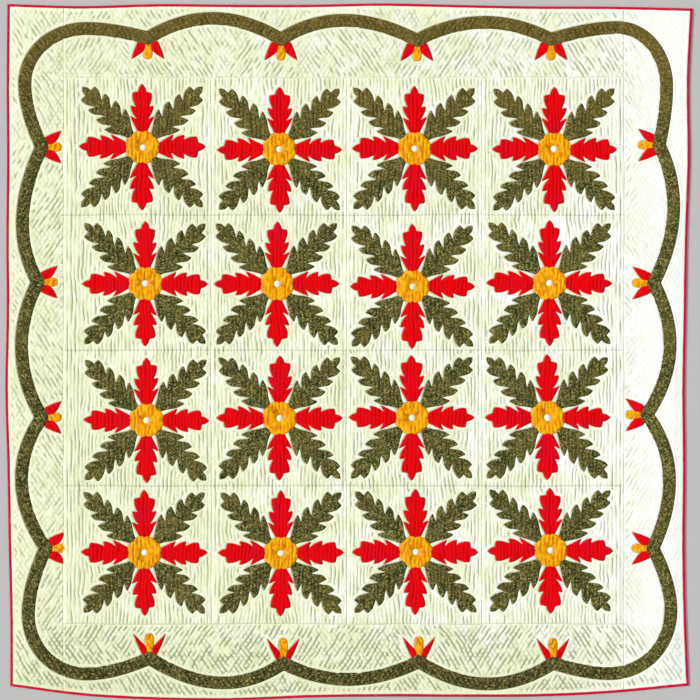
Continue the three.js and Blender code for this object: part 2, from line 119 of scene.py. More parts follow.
def soft_noise(x, y, size, seed):
    """Smooth random hills between -1 and 1. size is how wide a hill is in millimetres, or a pair along X
    and Y."""
    wide, tall = size if isinstance(size, tuple) else (size, size)
    table = np.random.default_rng(seed).uniform(-1, 1, NOISE_TABLE)
    u, v = np.asarray(x) / wide, np.asarray(y) / tall
    i, j = np.floor(u).astype(int), np.floor(v).astype(int)
    f, g = ease(u - i), ease(v - j)

    def pick(a, b):
        return table[a % NOISE_TABLE[0], b % NOISE_TABLE[1]]

    near = pick(i, j) * (1 - f) + pick(i + 1, j) * f
    far = pick(i, j + 1) * (1 - f) + pick(i + 1, j + 1) * f
    return near * (1 - g) + far * g


def through(stations, values, at):
    """A smooth curve through the values at the stations, read at the places in at."""
    stations, values = np.asarray(stations, float), np.asarray(values, float)
    slopes = np.gradient(values, stations)
    k = np.clip(np.searchsorted(stations, at) - 1, 0, len(stations) - 2)
    step = stations[k + 1] - stations[k]
    t = np.clip((at - stations[k]) / step, 0, 1)
    start = values[k] * (1 + 2 * t) * (1 - t) ** 2 + slopes[k] * step * t * (1 - t) ** 2
    end = values[k + 1] * (3 - 2 * t) * t**2 + slopes[k + 1] * step * t**2 * (t - 1)
    return start + end


def reach_of(side, along):
    """How far out the quilt's edge lies on one side, at places along it."""
    level = side in LEVEL_SIDES
    half = HALF_WIDTH if level else HALF_LENGTH
    out = HALF_LENGTH if level else HALF_WIDTH
    sway = EDGE_SWAY[side] if level else EDGE_SWAY[side][::-1]
    return out + through(np.linspace(-half, half, len(sway)), sway, along)


def from_edge(points):
    """Distance in from the nearest edge of the quilt."""
    x, y = points[:, 0], points[:, 1]
    return np.minimum.reduce(
        [reach_of("top", x) - y, reach_of("bottom", x) + y, reach_of("right", y) - x, reach_of("left", y) + x]
    )


middle_insets = from_edge(np.zeros((1, 2)))
print("from the field's middle to the nearest edge, mm:", round(float(middle_insets[0]), 1))

# %% [markdown]
# ## Polygons
# Cloth shapes are cut from flat cloth, so each one starts as a closed outline in the plane. The first
# helpers round the corners of a polygon, divide its long edges and tell which way is out.

# %% Outlines
# How much of an edge the rounding of one of its corners may take, and the shortest edge that is kept.
CORNER_SHARE = 0.48
SHORTEST = 0.25


def rounded(corners, spacing=3.4, steps=5):
    """A closed outline through corners (x, y, radius), each turned softly. spacing is the longest edge."""
    places = np.array([corner[:2] for corner in corners], float)
    run = []
    for k, (_, _, radius) in enumerate(corners):
        here, before, after = places[k], places[k - 1], places[(k + 1) % len(places)]
        arms = []
        for other in (before, after):
            length = np.linalg.norm(other - here)
            arms.append(here + (other - here) / length * min(radius, length * CORNER_SHARE))
        for t in np.linspace(0, 1, steps):
            run.append((1 - t) ** 2 * arms[0] + 2 * t * (1 - t) * here + t**2 * arms[1])
    return spaced(np.array(run), spacing)


def spaced(outline, spacing):
    """The outline with long edges divided, and points that lie almost on each other left out."""
    gaps = np.linalg.norm(np.roll(outline, -1, 0) - outline, axis=1)
    outline = outline[gaps > SHORTEST]
    following = np.roll(outline, -1, 0)
    run = []
    for here, after in zip(outline, following):
        count = max(1, math.ceil(np.linalg.norm(after - here) / spacing))
        run += [here + (after - here) * k / count for k in range(count)]
    return np.array(run)


def outward(loop):
    """The direction away from the cloth at each point of a counter-clockwise loop."""
    along = np.roll(loop, -1, 0) - np.roll(loop, 1, 0)
    normal = np.c_[along[:, 1], -along[:, 0]]
    return normal / np.maximum(np.linalg.norm(normal, axis=1, keepdims=True), 1e-9)


def area_of(loop):
    """The area inside a closed loop, below 0 if it runs clockwise."""
    x, y = loop.T
    return np.sum(x * np.roll(y, -1) - np.roll(x, -1) * y) / 2


def anticlockwise(loop):
    return loop if area_of(loop) > 0 else loop[::-1]


def segments(loops):
    """Where the straight stretches of closed loops start and end."""
    return np.vstack(loops), np.vstack([np.roll(loop, -1, 0) for loop in loops])


sample = rounded([(0, 0, 2), (40, 0, 2), (40, 20, 2), (0, 20, 2)])
print("a rounded slip of 40 by 20 mm:", len(sample), "points,", round(area_of(sample), 1), "mm2")

# %% [markdown]
# Two more helpers measure how far points lie from an outline and tell what is inside it. Both work tile by
# tile, so that each point meets only the few edges near it.

# %% Distance and inside
# Side of a tile, and the distance beyond which nothing is measured, in mm.
TILE = 64
FAR = 24


def tiles(points):
    """The points' numbers, tile by tile, with each tile's low and high corner."""
    tile = np.floor(points / TILE).astype(int)
    order = np.lexsort(tile.T)
    breaks = np.flatnonzero(np.any(np.diff(tile[order], axis=0), axis=1)) + 1
    for group in np.split(order, breaks):
        if len(group):
            low = tile[group[0]] * TILE
            yield group, low, low + TILE


def distance_to(points, starts, ends, far=FAR):
    """Distance from each point to the nearest of the segments, never more than far."""
    nearest = np.full(len(points), float(far))
    least, most = np.minimum(starts, ends) - far, np.maximum(starts, ends) + far
    for group, low, high in tiles(points):
        near = ((least < high) & (most > low)).all(1)
        if not near.any():
            continue
        (sx, sy), (rx, ry) = starts[near].T, (ends[near] - starts[near]).T
        x, y = points[group, 0, None] - sx, points[group, 1, None] - sy
        t = np.clip((x * rx + y * ry) / np.maximum(rx * rx + ry * ry, 1e-12), 0, 1)
        square = (x - t * rx) ** 2 + (y - t * ry) ** 2
        nearest[group] = np.minimum(np.sqrt(square.min(1)), far)
    return nearest


def inside(points, loops):
    """Whether each point lies inside the loops. A loop in a loop is a hole."""
    starts, ends = segments(loops)
    least, most = np.minimum(starts, ends), np.maximum(starts, ends)
    found = np.zeros(len(points), bool)
    for group, low, high in tiles(points):
        near = (least[:, 1] <= high[1]) & (most[:, 1] >= low[1]) & (most[:, 0] >= low[0])
        if not near.any():
            continue
        (sx, sy), (ex, ey) = starts[near].T, ends[near].T
        x, y = points[group, 0, None], points[group, 1, None]
        rise = ey - sy
        slope = (ex - sx) / np.where(rise == 0, 1e-9, rise)
        crosses = (sy > y) != (ey > y)
        found[group] = (crosses & (x < sx + (y - sy) * slope)).sum(1) % 2 == 1
    return found


print("middle and outside of the slip:", inside(np.array([[20.0, 10], [50, 10]]), [sample]))

# %% [markdown]
# An outline is filled with triangles by a Delaunay triangulation. That lets a point be put wherever the
# cloth bends, such as on a line of stitches, and nowhere else.

# %% Fills
# Points nearer than this are taken as one, in mm: on a piece's face and on its hidden side.
TOUCHING = 1e-4
TOUCHING_BEHIND = 1e-5
# Twice the area of the smallest triangle that is kept, in mm2.
SLIVER = 1e-7


def loop_edges(loops):
    """The edges of closed loops whose points are numbered one after another."""
    edges, first = [], 0
    for loop in loops:
        count = len(loop)
        edges += [(first + k, first + (k + 1) % count) for k in range(count)]
        first += count
    return edges


def triangulated(points, loops, touching):
    """The places and triangles inside closed loops, and which of the points each place is, or -1 for a new
    one."""
    made = delaunay_2d_cdt([Vector(p) for p in points.tolist()], loop_edges(loops), [], 0, touching)
    plan, corners = np.array([v[:] for v in made[0]]), np.array(made[2])
    origins = np.array([source[0] if source else -1 for source in made[3]])
    return plan, corners[inside(plan[corners].mean(1), loops)], origins


def turns_of(places, corners):
    """Twice the area of each triangle, below 0 if it runs clockwise."""
    a, b, c = (places[corners[:, k]] for k in range(3))
    return (b[:, 0] - a[:, 0]) * (c[:, 1] - a[:, 1]) - (b[:, 1] - a[:, 1]) * (c[:, 0] - a[:, 0])


def stacked(loops, inner):
    """The loops' points and then the inner ones, of which there may be none."""
    return np.vstack([*loops, inner]) if len(inner) else np.vstack(loops)


def filled(loops, inner):
    """Points and triangles between closed loops, through the inner points."""
    plan, corners, _ = triangulated(stacked(loops, inner), loops, TOUCHING)
    turn = turns_of(plan, corners)
    corners[turn < 0] = corners[turn < 0][:, ::-1]
    used, numbers = np.unique(corners[np.abs(turn) > SLIVER], return_inverse=True)
    return plan[used], numbers.reshape(-1, 3)


def rims(corners, count):
    """The edge of a triangulated sheet, as closed runs of point numbers with the cloth on their left."""
    edges = np.concatenate([corners[:, [0, 1]], corners[:, [1, 2]], corners[:, [2, 0]]])
    lone = edges[~np.isin(edges[:, 0] * count + edges[:, 1], edges[:, 1] * count + edges[:, 0])]
    following = dict(lone.tolist())
    assert len(following) == len(lone), "the sheet's edge touches itself"
    runs = []
    while following:
        first, here = following.popitem()
        run = [first]
        while here != first:
            run.append(here)
            here = following.pop(here)
        runs.append(run)
    return runs


print("triangles in the slip:", len(filled([sample], np.zeros((0, 2)))[1]))

# %% [markdown]
# ## Making a piece of cloth
# A cut piece of cloth is a thin closed solid. Its face carries all the relief, so it has the fine
# triangles. A rim of one or two narrow steps takes its edge down, and its hidden side needs few triangles.
# Every piece is told which body it rides on.

# %% A cloth solid
triangle_counts = {}


def cloth(name, plan, corners, face_z, steps, under, under_points, material, slot, groove, facing=1):
    """A closed solid: a fine face, rim steps of (outward millimetres, height function), and a plain other
    side."""
    count = len(plan)
    runs = rims(corners, count)
    points = [np.c_[plan, face_z]]
    faces = corners.tolist()
    ring = [np.array(run) for run in runs]
    soft = [True] * len(faces)
    places = [plan[run] for run in runs]
    directions = [outward(place) for place in places]
    shades = [groove]
    total = count
    for out, height in steps:
        stepped = []
        for k, run in enumerate(ring):
            place = places[k] + directions[k] * out
            numbers = total + np.arange(len(place))
            after, before = np.roll(numbers, -1), np.roll(run, -1)
            faces += np.c_[before, run, numbers, after].tolist()
            soft += [False] * len(place)
            points.append(np.c_[place, height(place)])
            # The rim steps take the full painted shade.
            shades.append(np.ones(len(place)))
            total += len(place)
            stepped.append(numbers)
        ring = stepped
    loops = [places[k] + directions[k] * steps[-1][0] for k in range(len(ring))]
    behind = stacked(loops, under_points)
    _, corners, origins = triangulated(behind, loops, TOUCHING_BEHIND)
    numbers = np.concatenate([*ring, total + np.arange(len(under_points))]).astype(int)
    if len(under_points):
        points.append(np.c_[under_points, under(under_points)])
        shades.append(np.zeros(len(under_points)))
    found = origins[corners]
    whole = found[(found >= 0).all(1)]
    if len(whole) < len(found):
        print("  open spots at the back of", name, len(found) - len(whole))
    turn = turns_of(behind, whole)
    whole[turn > 0] = whole[turn > 0][:, ::-1]
    faces += numbers[whole].tolist()
    soft += [True] * len(whole)
    if facing < 0:
        faces = [face[::-1] for face in faces]
    return piece(name, np.vstack(points), faces, material, slot, np.concatenate(shades), soft)


def piece(name, points, faces, material, slot, groove, soft=None):
    """An object from points in the quilt's millimetres. groove says how much shade is painted at each point,
    from 0 to 1, mostly where it is sewn in, and soft which faces are shaded smoothly. Without soft all are."""
    mesh = bpy.data.meshes.new(name)
    mesh.from_pydata(((points + [SHIFT_X, SHIFT_Y, 0]) * MM).tolist(), [], faces)
    mesh.polygons.foreach_set("use_smooth", soft or [True] * len(faces))
    attribute = mesh.attributes.new("groove", "FLOAT", "POINT")
    attribute.data.foreach_set("value", np.clip(groove, 0, 1).astype(np.float32))
    mesh.materials.append(material)
    made = bpy.data.objects.new(name, mesh)
    bpy.context.scene.collection.objects.link(made)
    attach(made, "root")
    triangle_counts[name] = sum(len(face) - 2 for face in faces)
    return made


# %% [markdown]
# ## The finishes
# All the cloth is cotton, which scatters light evenly and has hardly any gloss. What tells the pieces apart
# is how each was dyed or printed. The colours are sRGB hex values. The finishes of the top read the groove
# attribute and paint shade, with a little dust, into the sewn lines and onto the rolled rims.

# %% Node helpers
# A wave texture repeats 20 / (2 pi) times a unit at scale 1, so pi / 10 gives one wave a unit.
WAVE_SCALE = math.pi / 10


def linear(colour):
    """An sRGB hex value as the linear colour that a shader takes."""
    parts = [int(colour[k : k + 2], 16) / 255 for k in (1, 3, 5)]
    return [p / 12.92 if p <= 0.04045 else ((p + 0.055) / 1.055) ** 2.4 for p in parts] + [1.0]


def add(tree, kind, inputs=None, **settings):
    """A node with its settings, and its inputs as values or links."""
    node = tree.nodes.new(kind)
    for key, value in settings.items():
        setattr(node, key, value)
    for key, value in (inputs or {}).items():
        if isinstance(value, bpy.types.NodeSocket):
            tree.links.new(value, node.inputs[key])
        else:
            node.inputs[key].default_value = value
    return node


def ramp_of(tree, fac, stops):
    """A colour ramp through (place, hex colour) stops."""
    node = add(tree, "ShaderNodeValToRGB", {"Fac": fac})
    elements = node.color_ramp.elements
    while len(elements) < len(stops):
        elements.new(0.5)
    for element, (place, colour) in zip(elements, stops):
        element.position = place
        element.color = linear(colour)
    return node.outputs["Color"]


def mixed(tree, fac, a, b):
    """Colour a turned to colour b by fac. Colours are sockets or hex values."""
    a, b = (linear(v) if isinstance(v, str) else v for v in (a, b))
    node = add(tree, "ShaderNodeMix", data_type="RGBA")
    for socket, value in ((node.inputs[0], fac), (node.inputs[6], a), (node.inputs[7], b)):
        if isinstance(value, bpy.types.NodeSocket):
            tree.links.new(value, socket)
        else:
            socket.default_value = value
    return node.outputs[2]


def tinted(tree, base, tints):
    """The base colour with tints laid over it in turn: where each lies, how strong it is, and its colour."""
    for where, strength, colour in tints:
        base = mixed(tree, times(tree, where, strength), base, colour)
    return base


def scaled(tree, value, low, high):
    """Stretches what lies between low and high to 0 and 1."""
    node = add(tree, "ShaderNodeMapRange", {"Value": value, "From Min": low, "From Max": high})
    return node.outputs["Result"]


def hills(tree, size_mm, stretch=(1, 1, 1), detail=2.0, shift=0.0):
    """Noise about size_mm wide in the piece's own metres, stretched along an axis."""
    place = add(tree, "ShaderNodeTexCoord").outputs["Object"]
    moved = add(
        tree, "ShaderNodeMapping", {"Vector": place, "Location": (shift, shift, shift), "Scale": stretch}
    )
    return add(
        tree,
        "ShaderNodeTexNoise",
        {"Vector": moved.outputs["Vector"], "Scale": 1 / (size_mm * MM), "Detail": detail},
    ).outputs["Fac"]


def times(tree, a, b):
    """The product of two values or sockets."""
    return add(tree, "ShaderNodeMath", {0: a, 1: b}, operation="MULTIPLY").outputs[0]


def cotton(name, colour_of, roughness, thread_mm, weave, crinkle_mm, crinkle):
    """A cotton finish: its colour from colour_of, then a plain weave and small crinkles as bump, each with
    its size and strength."""
    material = bpy.data.materials.new(name)
    material.use_nodes = True
    tree = material.node_tree
    tree.nodes.clear()
    groove = add(tree, "ShaderNodeAttribute", attribute_name="groove").outputs["Fac"]
    place = add(tree, "ShaderNodeTexCoord").outputs["Object"]
    threads = []
    for direction in ("X", "Y"):
        wave = add(
            tree,
            "ShaderNodeTexWave",
            {"Vector": place, "Scale": WAVE_SCALE / (thread_mm * MM), "Distortion": 1.5, "Detail": 1.0},
            bands_direction=direction,
        )
        threads.append(wave.outputs["Fac"])
    cross = times(tree, threads[0], threads[1])
    woven = add(
        tree, "ShaderNodeBump", {"Height": cross, "Strength": weave, "Distance": thread_mm * MM * 0.4}
    )
    crumple = add(
        tree,
        "ShaderNodeBump",
        {
            "Height": hills(tree, crinkle_mm, (1.0, 0.55, 1.0)),
            "Strength": crinkle,
            "Distance": crinkle_mm * MM * 0.25,
            "Normal": woven.outputs["Normal"],
        },
    )
    shader = add(
        tree,
        "ShaderNodeBsdfPrincipled",
        {
            "Base Color": colour_of(tree, groove),
            "Roughness": roughness,
            "Specular IOR Level": 0.05,
            "Normal": crumple.outputs["Normal"],
        },
    )
    add(tree, "ShaderNodeOutputMaterial", {"Surface": shader.outputs["BSDF"]})
    return material


# %% [markdown]
# The ground is plain white muslin, washed many times. It has gone cream in soft clouds and long streaks, and
# it is yellower towards the left. Painted shade darkens the foot and painted light whitens the right side.
# Threads of such muslin lie 0.4 mm apart. They are drawn three times as coarse, because finer ones can't be
# seen from a step away.

# %% White muslin
def muslin_colour(tree, groove):
    place = add(tree, "ShaderNodeTexCoord").outputs["Object"]
    x, y = add(tree, "ShaderNodeSeparateXYZ", {"Vector": place}).outputs[:2]
    # Yellower towards the left.
    toward_left = scaled(tree, x, 0.5, -1.0)
    # Painted shade towards the foot.
    painted_foot_shade = scaled(tree, y, -0.8, -1.0)
    aged = scaled(tree, hills(tree, 330, shift=11.0), 0.42, 0.62)
    streaked = scaled(tree, hills(tree, 11, (1.0, 0.22, 1.0), detail=3.0, shift=3.0), 0.5, 0.72)
    slubbed = scaled(tree, hills(tree, 3.4, (1.0, 0.17, 1.0), shift=8.0), 0.5, 0.68)
    # Painted light along the right side.
    painted_right_light = scaled(tree, x, 0.6, 1.0)
    cream = ramp_of(
        tree, hills(tree, 70, detail=4.0), [(0.34, "#f1f4d2"), (0.5, "#fafbe8"), (0.62, "#fefef6")]
    )
    tints = [
        (toward_left, 0.55, "#f0f4c0"),
        (painted_foot_shade, 0.5, "#e2e8b4"),
        (aged, 0.3, "#e6eabc"),
        (streaked, 0.75, "#dbe2a6"),
        (slubbed, 0.5, "#c8cea0"),
        (painted_right_light, 0.7, "#fffffa"),
    ]
    # Painted shade, with a little dust, in broken dashes along the sewn lines and on the rims.
    groove_shade_and_dust = times(tree, groove, scaled(tree, hills(tree, 16, (1.0, 0.4, 1.0), shift=7.0), 0.05, 0.4))
    return tinted(tree, cream, [*tints, (groove_shade_and_dust, 0.95, "#848a62")])


WHITE_MUSLIN = cotton("washed_white_muslin", muslin_colour, 0.92, 1.2, 0.25, 6.0, 0.5)

# %% [markdown]
# The leaves and the vine are a small-figured green calico. A block printer laid blue over yellow on a tan
# ground, so from near it breaks up into dark green, olive, ochre and brown flecks 2 to 4 mm across. Some
# lengths have faded browner than others, most of all near the head. Random cells, each with its own value,
# give the flecks.

# %% Green calico print
FLECK = 3.8
# The print's colours, each from its share of the flecks on.
PRINT_COLOURS = [
    (0.0, "#141e08"),
    (0.24, "#30421a"),
    (0.46, "#56582a"),
    (0.64, "#806436"),
    (0.84, "#8e8e4e"),
    (1.0, "#b8aa66"),
]


def calico_colour(tree, groove):
    place = add(tree, "ShaderNodeTexCoord").outputs["Object"]
    y = add(tree, "ShaderNodeSeparateXYZ", {"Vector": place}).outputs["Y"]
    flecks = add(
        tree, "ShaderNodeTexVoronoi", {"Vector": place, "Scale": 1 / (FLECK * MM), "Randomness": 1.0}
    )
    value = add(tree, "ShaderNodeSeparateColor", {"Color": flecks.outputs["Color"]}).outputs[0]
    blue = scaled(tree, hills(tree, 2.2, shift=1.0), 0.45, 0.7)
    browned = scaled(tree, hills(tree, 55, detail=3.0, shift=5.0), 0.52, 0.75)
    faded = scaled(tree, hills(tree, 120, shift=9.0), 0.5, 0.7)
    sunned = scaled(tree, y, 0.5, 1.0)
    figure = mixed(tree, blue, ramp_of(tree, value, PRINT_COLOURS), "#39401c")
    tints = [
        (browned, 0.4, "#6d5530"),
        (faded, 0.3, "#7a7236"),
        (sunned, 0.45, "#7c6428"),
        # Painted shade in the sewn lines.
        (groove, 0.8, "#171b0a"),
    ]
    return tinted(tree, figure, tints)


GREEN_PRINT = cotton("green_calico", calico_colour, 0.9, 0.9, 0.2, 5.0, 0.4)

# %% [markdown]
# The petals are madder red cotton, dyed through, clear and even. It is a little cooler on some pieces, with
# painted highlights in small streaks and painted shade in the sewn lines. The rosettes and tongues are chrome
# yellow, which turns orange where it has been handled, with painted shade in the sewn lines.

# %% Red and gold cotton
def red_colour(tree, groove):
    dyed = mixed(tree, scaled(tree, hills(tree, 90, shift=2.0), 0.5, 0.72), "#e2040a", "#d80620")
    # Painted highlights in small streaks, and painted shade in the sewn lines.
    painted_highlights = scaled(tree, hills(tree, 9, (1.0, 0.4, 1.0), shift=4.0), 0.5, 0.75)
    return tinted(tree, dyed, [(painted_highlights, 0.5, "#ee0c10"), (groove, 0.85, "#960008")])


def gold_colour(tree, groove):
    ripples = scaled(tree, hills(tree, 7, (1.0, 0.35, 1.0), shift=6.0), 0.44, 0.64)
    base = mixed(tree, times(tree, ripples, 0.9), "#fcb814", "#e08606")
    # Painted shade in the sewn lines.
    return mixed(tree, groove, base, "#b85c04")


RED_COTTON = cotton("madder_red_cotton", red_colour, 0.88, 0.9, 0.2, 6.0, 0.35)
GOLD_COTTON = cotton("chrome_yellow_cotton", gold_colour, 0.88, 0.9, 0.2, 6.0, 0.4)

# %% [markdown]
# The edge is bound in crimson cotton. It takes all the wear of a quilt, so it is rubbed pale in short
# stretches.

# %% Crimson binding cotton
def crimson_colour(tree, _):
    rubbed = scaled(tree, hills(tree, 24, detail=3.0), 0.55, 0.75)
    return mixed(tree, times(tree, rubbed, 0.4), "#c8143c", "#d84a62")


CRIMSON_COTTON = cotton("crimson_cotton", crimson_colour, 0.88, 0.8, 0.25, 5.0, 0.3)
print("finishes:", [material.name for material in bpy.data.materials])

# %% [markdown]
# ## How the quilt lies
# Sewing draws the layers together, so each block is a low cushion, highest inside and pulled down along its
# seams. No block lies quite level, and a quilt that has been folded keeps soft ridges and hollows where it
# was folded. The tables give the lie of each block, the corners that stand up a little and the main old
# folds.

# %% The lie of the cloth
BLOCK_LEVEL = 6.4
SEAM_LEVEL = 5.9
SEAM_SLOPE = 16
SEAM_WOBBLE = 1.5
BORDER_LEVELS = {"inset": [9.5, 30, 80, 120], "height": [3.7, 5.4, 6.4, 6.0]}
EDGE_LEVEL = 3.2
BOUND_WIDTH = 8
# The edge holds the cloth flat this far in, and beyond it swells and folds come in slowly, the quilting at
# once.
HELD_FLAT = 10
LIE_EASE = 50
QUILTING_EASE = 12
UNEVEN = {"rise": 0.6, "size": 130, "seed": 21}
# Rows from the head, blocks from the left: rise in mm, then tilt along X and along Y in mm a metre.
BLOCK_RISE = [[0.4, 0.2, 0.5, 0.6], [0.3, -0.2, 0.1, 0.5], [0.5, 0.7, 0.8, 0.3], [0.8, 1.0, 0.6, 0.7]]
BLOCK_TILT_X = [[-2, 1, -1, 3], [2, -1, 1, 4], [1, 4, -4, 2], [-3, -3, -3, 3]]
BLOCK_TILT_Y = [[2, 1, 2, 2], [-1, 1, -1, 0], [1, -2, -2, 1], [-4, -4, -2, -3]]
# Soft swells: middle x, middle y, rise, reach.
SWELLS = [
    (-400, -960, 2.2, 160),
    (930, 420, 2.4, 240),
    (930, -360, 1.8, 200),
    (-1000, -960, 2.6, 260),
    (1000, -960, 2.8, 260),
    (-930, 940, 1.6, 200),
]
# Old folds: from x, y to x, y, then rise (below 0 is a hollow) and half width.
FOLDS = [
    (-496, -733, -359, -917, 1.8, 16),
    (25, -290, 25, -620, -1.3, 26),
    (898, 250, 902, 675, 1.3, 40),
    (898, -334, 898, -580, 1.3, 22),
    (776, -733, 822, -825, 1.1, 18),
    (-803, -700, -803, 700, -0.9, 18),
    (-1005, 1025, -925, 945, 1.4, 14),
    (-60, 640, 40, 700, 0.8, 22),
    (330, -640, 420, -720, 0.9, 20),
]


def seam_x(k, y):
    """Where upright seam k lies at each height y."""
    return SEAMS_X[k] + SEAM_WOBBLE * soft_noise(np.full_like(y, 7.0 * k), y, (1, 90), 11)


def seam_y(k, x):
    """Where level seam k lies at each x."""
    return SEAMS_Y[k] + SEAM_WOBBLE * soft_noise(x, np.full_like(x, 7.0 * k), (90, 1), 12)


def from_fold(points, x0, y0, x1, y1):
    """Distance from the straight middle line of a fold."""
    run = np.array([x1 - x0, y1 - y0])
    away = points - [x0, y0]
    t = np.clip(away @ run / (run @ run), 0, 1)
    return np.hypot(*(away - t[:, None] * run).T)


def lay(points):
    """Swells, old folds and the last unevenness of a cloth that was never ironed."""
    x, y = points.T
    height = UNEVEN["rise"] * soft_noise(x, y, UNEVEN["size"], UNEVEN["seed"])
    for middle_x, middle_y, rise, reach in SWELLS:
        height += rise * np.maximum(0, 1 - (np.hypot(x - middle_x, y - middle_y) / reach) ** 2)
    for x0, y0, x1, y1, rise, width in FOLDS:
        away = from_fold(points, x0, y0, x1, y1)
        height += rise * np.exp(-((away / width) ** 2))
    return height


def plain_level(points):
    """Height of the top before it is quilted, and the distance to the nearest seam that stops the
    quilting. The upright seams and the field's outer seams stop it, and it runs on over the level seams
    between blocks."""
    x, y = points.T
    inset = from_edge(points)
    across = x - np.array([seam_x(k, y) for k in range(5)])
    down = np.array([seam_y(k, x) for k in range(5)]) - y
    in_columns = (across[0] > 0) & (across[4] < 0)
    in_field = in_columns & (down[0] > 0) & (down[4] < 0)
    column = (across[1:4] > 0).sum(0)
    row = (down[1:4] > 0).sum(0)
    middle_x = (np.array(SEAMS_X)[column] + np.array(SEAMS_X)[column + 1]) / 2
    middle_y = (np.array(SEAMS_Y)[row] + np.array(SEAMS_Y)[row + 1]) / 2
    plane = BLOCK_LEVEL + np.array(BLOCK_RISE)[row, column]
    plane += np.array(BLOCK_TILT_X)[row, column] * (x - middle_x) * MM
    plane += np.array(BLOCK_TILT_Y)[row, column] * (y - middle_y) * MM
    to_upright = np.abs(across[[0, 4]]).min(0)
    to_level = np.where(in_columns, np.abs(down[[0, 4]]).min(0), np.inf)
    outer = np.minimum(to_upright, to_level)
    stop = np.where(in_field, np.minimum(np.abs(across).min(0), outer), outer)
    rise = ease(np.where(in_field, np.minimum(stop, np.abs(down).min(0)), outer) / SEAM_SLOPE)
    border = np.interp(inset, BORDER_LEVELS["inset"], BORDER_LEVELS["height"])
    border -= np.maximum(border - SEAM_LEVEL, 0) * (1 - rise)
    level = np.where(in_field, SEAM_LEVEL + (plane - SEAM_LEVEL) * rise, border)
    level += lay(points) * ease((inset - HELD_FLAT) / LIE_EASE)
    return np.where(inset < BOUND_WIDTH + 0.5, EDGE_LEVEL, level), stop


field_middles = np.array([[-207.5, 207.5], [207.5, -207.5]])
print("height of the unquilted top in two blocks, mm:", np.round(plain_level(field_middles)[0], 1))

# %% [markdown]
# ## The quilting
# Running stitches draw thread tight every few millimetres, so each line is a chain of small dents and the
# filling swells between the lines. In the blocks wavy lines run from head to foot about 11.5 mm apart,
# straight beside the seams. In the borders two slanting sets cross. Round each sewn-on shape runs a line in
# the ditch and an echo 9 mm out, with plain cloth between. Height comes from the distance to the nearest
# line, so it is real geometry.

# %% Lines of quilting
LINE_PITCH = 11.5
BORDER_PITCH = 13
ECHO = 9
DEPTH = 1.6
ECHO_PULL = 0.4
# How narrow a sewn line is beside the puffed cloth: a smaller power gives a narrower line.
LINE_POWER = 0.8
ECHO_POWER = 0.7
# The pull of the thread: how long it stays alike along a line in mm, then its mean, its spread and its
# least share.
BLOCK_PULL = {"length": 38, "seed": 33, "mean": 0.78, "spread": 0.5, "least": 0.4}
BORDER_PULL = {"length": 17, "seed": 44, "mean": 0.75, "spread": 0.6, "least": 0.25}
STAGGER = 8.3
# Waves of the upright lines: sway in mm, size along X and Y in mm, seed. Beside a seam the slow one dies
# away and a quarter of the quick ones is left.
SLOW_WAVE = (9, (110, 150), 31)
QUICK_WAVES = [(3.2, (40, 46), 32), (1.9, (30, 19), 34)]
STRAIGHT_ZONE = 60
QUICK_LEFT = 0.25


def between_lines(off):
    """How deep the cloth is drawn in, 1 on a line and 0 halfway to the next."""
    return 1 - np.sin(np.pi * off) ** LINE_POWER


def thread_pull(line, run, length, seed, mean, spread, least):
    """How hard the thread pulls at each place along each numbered line."""
    return np.clip(mean + spread * soft_noise(line, run + STAGGER * line, (1, length), seed), least, 1)


def wave_of(points, left, right):
    """How far the upright lines of a panel sway to the side."""
    x, y = points.T
    free = ease(np.minimum(x - left, right - x) / STRAIGHT_ZONE)
    sway, size, seed = SLOW_WAVE
    slow = sway * free * soft_noise(x, y, size, seed)
    quick = sum(sway * soft_noise(x, y, size, seed) for sway, size, seed in QUICK_WAVES)
    return slow + (QUICK_LEFT + (1 - QUICK_LEFT) * free) * quick


def upright_lines(points, left, right):
    """How deep a block's cloth is drawn in by its upright lines."""
    x, y = points.T
    count = round((right - left) / LINE_PITCH)
    place = (x + wave_of(points, left, right) - left) / (right - left) * count
    pull = thread_pull(np.round(place), y, **BLOCK_PULL)
    return pull * between_lines(place - np.floor(place))


def quarter_lines(left, right):
    """Where the lines of a panel's upright quilting and the quarters between them would lie without sway."""
    count = round((right - left) / LINE_PITCH) * 4
    return left + (right - left) * np.arange(1, count) / count


def upright_lattice(left, right, low, high, row_step):
    """Points on the quarter lines of a panel's upright quilting, in level rows, so that edges follow each
    line."""
    columns = quarter_lines(left, right)
    rows = np.arange(low, high, row_step)
    x, y = np.meshgrid(columns, rows)
    target, points = x.ravel(), np.c_[x.ravel(), y.ravel()]
    for _ in range(10):
        points[:, 0] = target - wave_of(points, left, right)
    return points


print("upright lines in a block:", round((SEAMS_X[2] - SEAMS_X[1]) / LINE_PITCH))

# %% [markdown]
# The border's two sets of lines cross at a slant. They too sway a little, and in each stretch of the border
# one set is pulled harder than the other.

# %% Slanting lines
SLANT = math.radians(57)
# Sway in mm, size of a wave in mm, seed.
SLANT_SWAY = [(5, 110, 41), (2.2, 25, 45)]
# The weaker set's share of the full pull, what the leading set has more, and how long one set leads, in mm.
WEAK_SET = 0.5
LEAD = 0.45
LEAD_SIZE = 260
# How much harder the foot is quilted and how much softer the right side, each with the share of the half
# quilt at which that starts.
HARD_FOOT = (0.5, 0.76)
SOFT_RIGHT = (0.55, 0.78)
HARDNESS_EASE = 0.12
# The lattice has this many points from one line to the next.
LATTICE_SPLIT = 3


def swayed(points):
    """Points moved from the quilt to where the slanting lines would be straight."""
    x, y = points.T
    moved = points.copy()
    for sway, size, seed in SLANT_SWAY:
        moved += sway * np.c_[soft_noise(x, y, size, seed), soft_noise(x, y, size, seed + 1)]
    return moved


